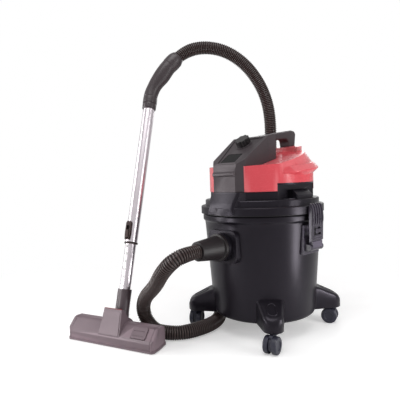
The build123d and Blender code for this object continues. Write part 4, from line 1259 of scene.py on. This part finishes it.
def end_groove(x):
    """Thin groove round one end of the floor tool."""
    far = x + GROOVE_WIDE
    rings = []
    for place, grow in ((x, GROOVE_OUT), (far, GROOVE_OUT), (far, GROOVE_IN), (x, GROOVE_IN)):
        section = [TOOL_MIDDLE + (Vector(p) - TOOL_MIDDLE) * grow for p in TOOL_LINE]
        rings.append([(place, *at) for at in section])
    bm = loft(rings, loop=True)
    bm.transform(TOOL_AT)
    return bm


def hood_panel():
    """Raised panel on the front of the hood, wider at its foot."""
    bm = prism(PANEL_LINE, -1.0, 1.0, "YZ")
    for v in bm.verts:
        v.co.x *= PANEL_HALF - (v.co.z - PANEL_FOOT) * PANEL_TAPER
    return bm


class VACUUM_OT_tool(bpy.types.Operator):
    """Floor tool with pedal, rollers and brushes"""

    bl_idname = "vacuum.tool"
    bl_label = "Floor tool"

    def execute(self, context):
        shell = dress("nozzle_shell", 0, eased=(3.4, self.front_crease))
        for x in GROOVES_AT:
            trim(shell, end_groove(x))
        soften(shell, 1.6 * MM, 3)
        for node, edge in (("nozzle_hood", 2.5), ("hood_trim", 0.5), ("sole_plate", 0.8), ("pedal", 0.8),
                           ("brush_strips", 0.3), ("nozzle_rollers", 0.6)):
            dress(node, edge, 3)
        keep("hood_panel", hood_panel(), "nozzle", "tool_plastic", (), TOOL_AT, edge=0.7 * MM)
        cap = turned(bow(CAP_LINE, 1.5, 3, True), CAP_STEPS)
        keep("pivot_cap", cap, "nozzle", "tool_plastic", (), TOOL_AT @ shift(*CAP_AT) @ turn(90.0, "Y"))
        return {"FINISHED"}

    def front_crease(self, middle, along):
        """The long edges between the tool's upright front and its sloping top."""
        at = TOOL_AT.inverted() @ middle
        lengthwise = abs((TOOL_AT.to_3x3().inverted() @ along).x) > CREASE_LENGTHWISE
        return lengthwise and any(y0 < at.y < y1 and z0 < at.z < z1 for (y0, y1), (z0, z1) in CREASES)


class VACUUM_PT_panel(bpy.types.Panel):
    """Steps that dress the shop vacuum"""

    bl_idname = "VACUUM_PT_panel"
    bl_label = "Shop vacuum"
    bl_space_type = "VIEW_3D"
    bl_region_type = "UI"
    bl_category = "Shop vacuum"

    def draw(self, context):
        for step in STEPS:
            self.layout.operator(step.bl_idname)
        for group in (context.scene.vacuum_sizes, context.scene.vacuum_colours):
            for name in group.bl_rna.properties.keys():
                if name not in ("rna_type", "name"):
                    self.layout.prop(group, name)


STEPS = (VACUUM_OT_stage, VACUUM_OT_hose, VACUUM_OT_drum, VACUUM_OT_feet, VACUUM_OT_latches,
         VACUUM_OT_head, VACUUM_OT_cover, VACUUM_OT_column, VACUUM_OT_handle, VACUUM_OT_motor,
         VACUUM_OT_wand, VACUUM_OT_tool)
CLASSES = (VacuumSizes, VacuumColours, *STEPS, VACUUM_PT_panel)


def register():
    for item in CLASSES:
        bpy.utils.register_class(item)
    bpy.types.Scene.vacuum_sizes = PointerProperty(type=VacuumSizes)
    bpy.types.Scene.vacuum_colours = PointerProperty(type=VacuumColours)


def unregister():
    del bpy.types.Scene.vacuum_colours
    del bpy.types.Scene.vacuum_sizes
    for item in reversed(CLASSES):
        bpy.utils.unregister_class(item)


def main():
    register()
    make_finishes(bpy.context.scene.vacuum_colours)
    bpy.ops.vacuum.stage()
    bpy.ops.vacuum.hose()
    bpy.ops.vacuum.drum()
    bpy.ops.vacuum.feet()
    bpy.ops.vacuum.latches()
    bpy.ops.vacuum.head()
    bpy.ops.vacuum.cover()
    bpy.ops.vacuum.column()
    bpy.ops.vacuum.handle()
    bpy.ops.vacuum.motor()
    bpy.ops.vacuum.wand()
    bpy.ops.vacuum.tool()


if __name__ == "__main__":
    main()
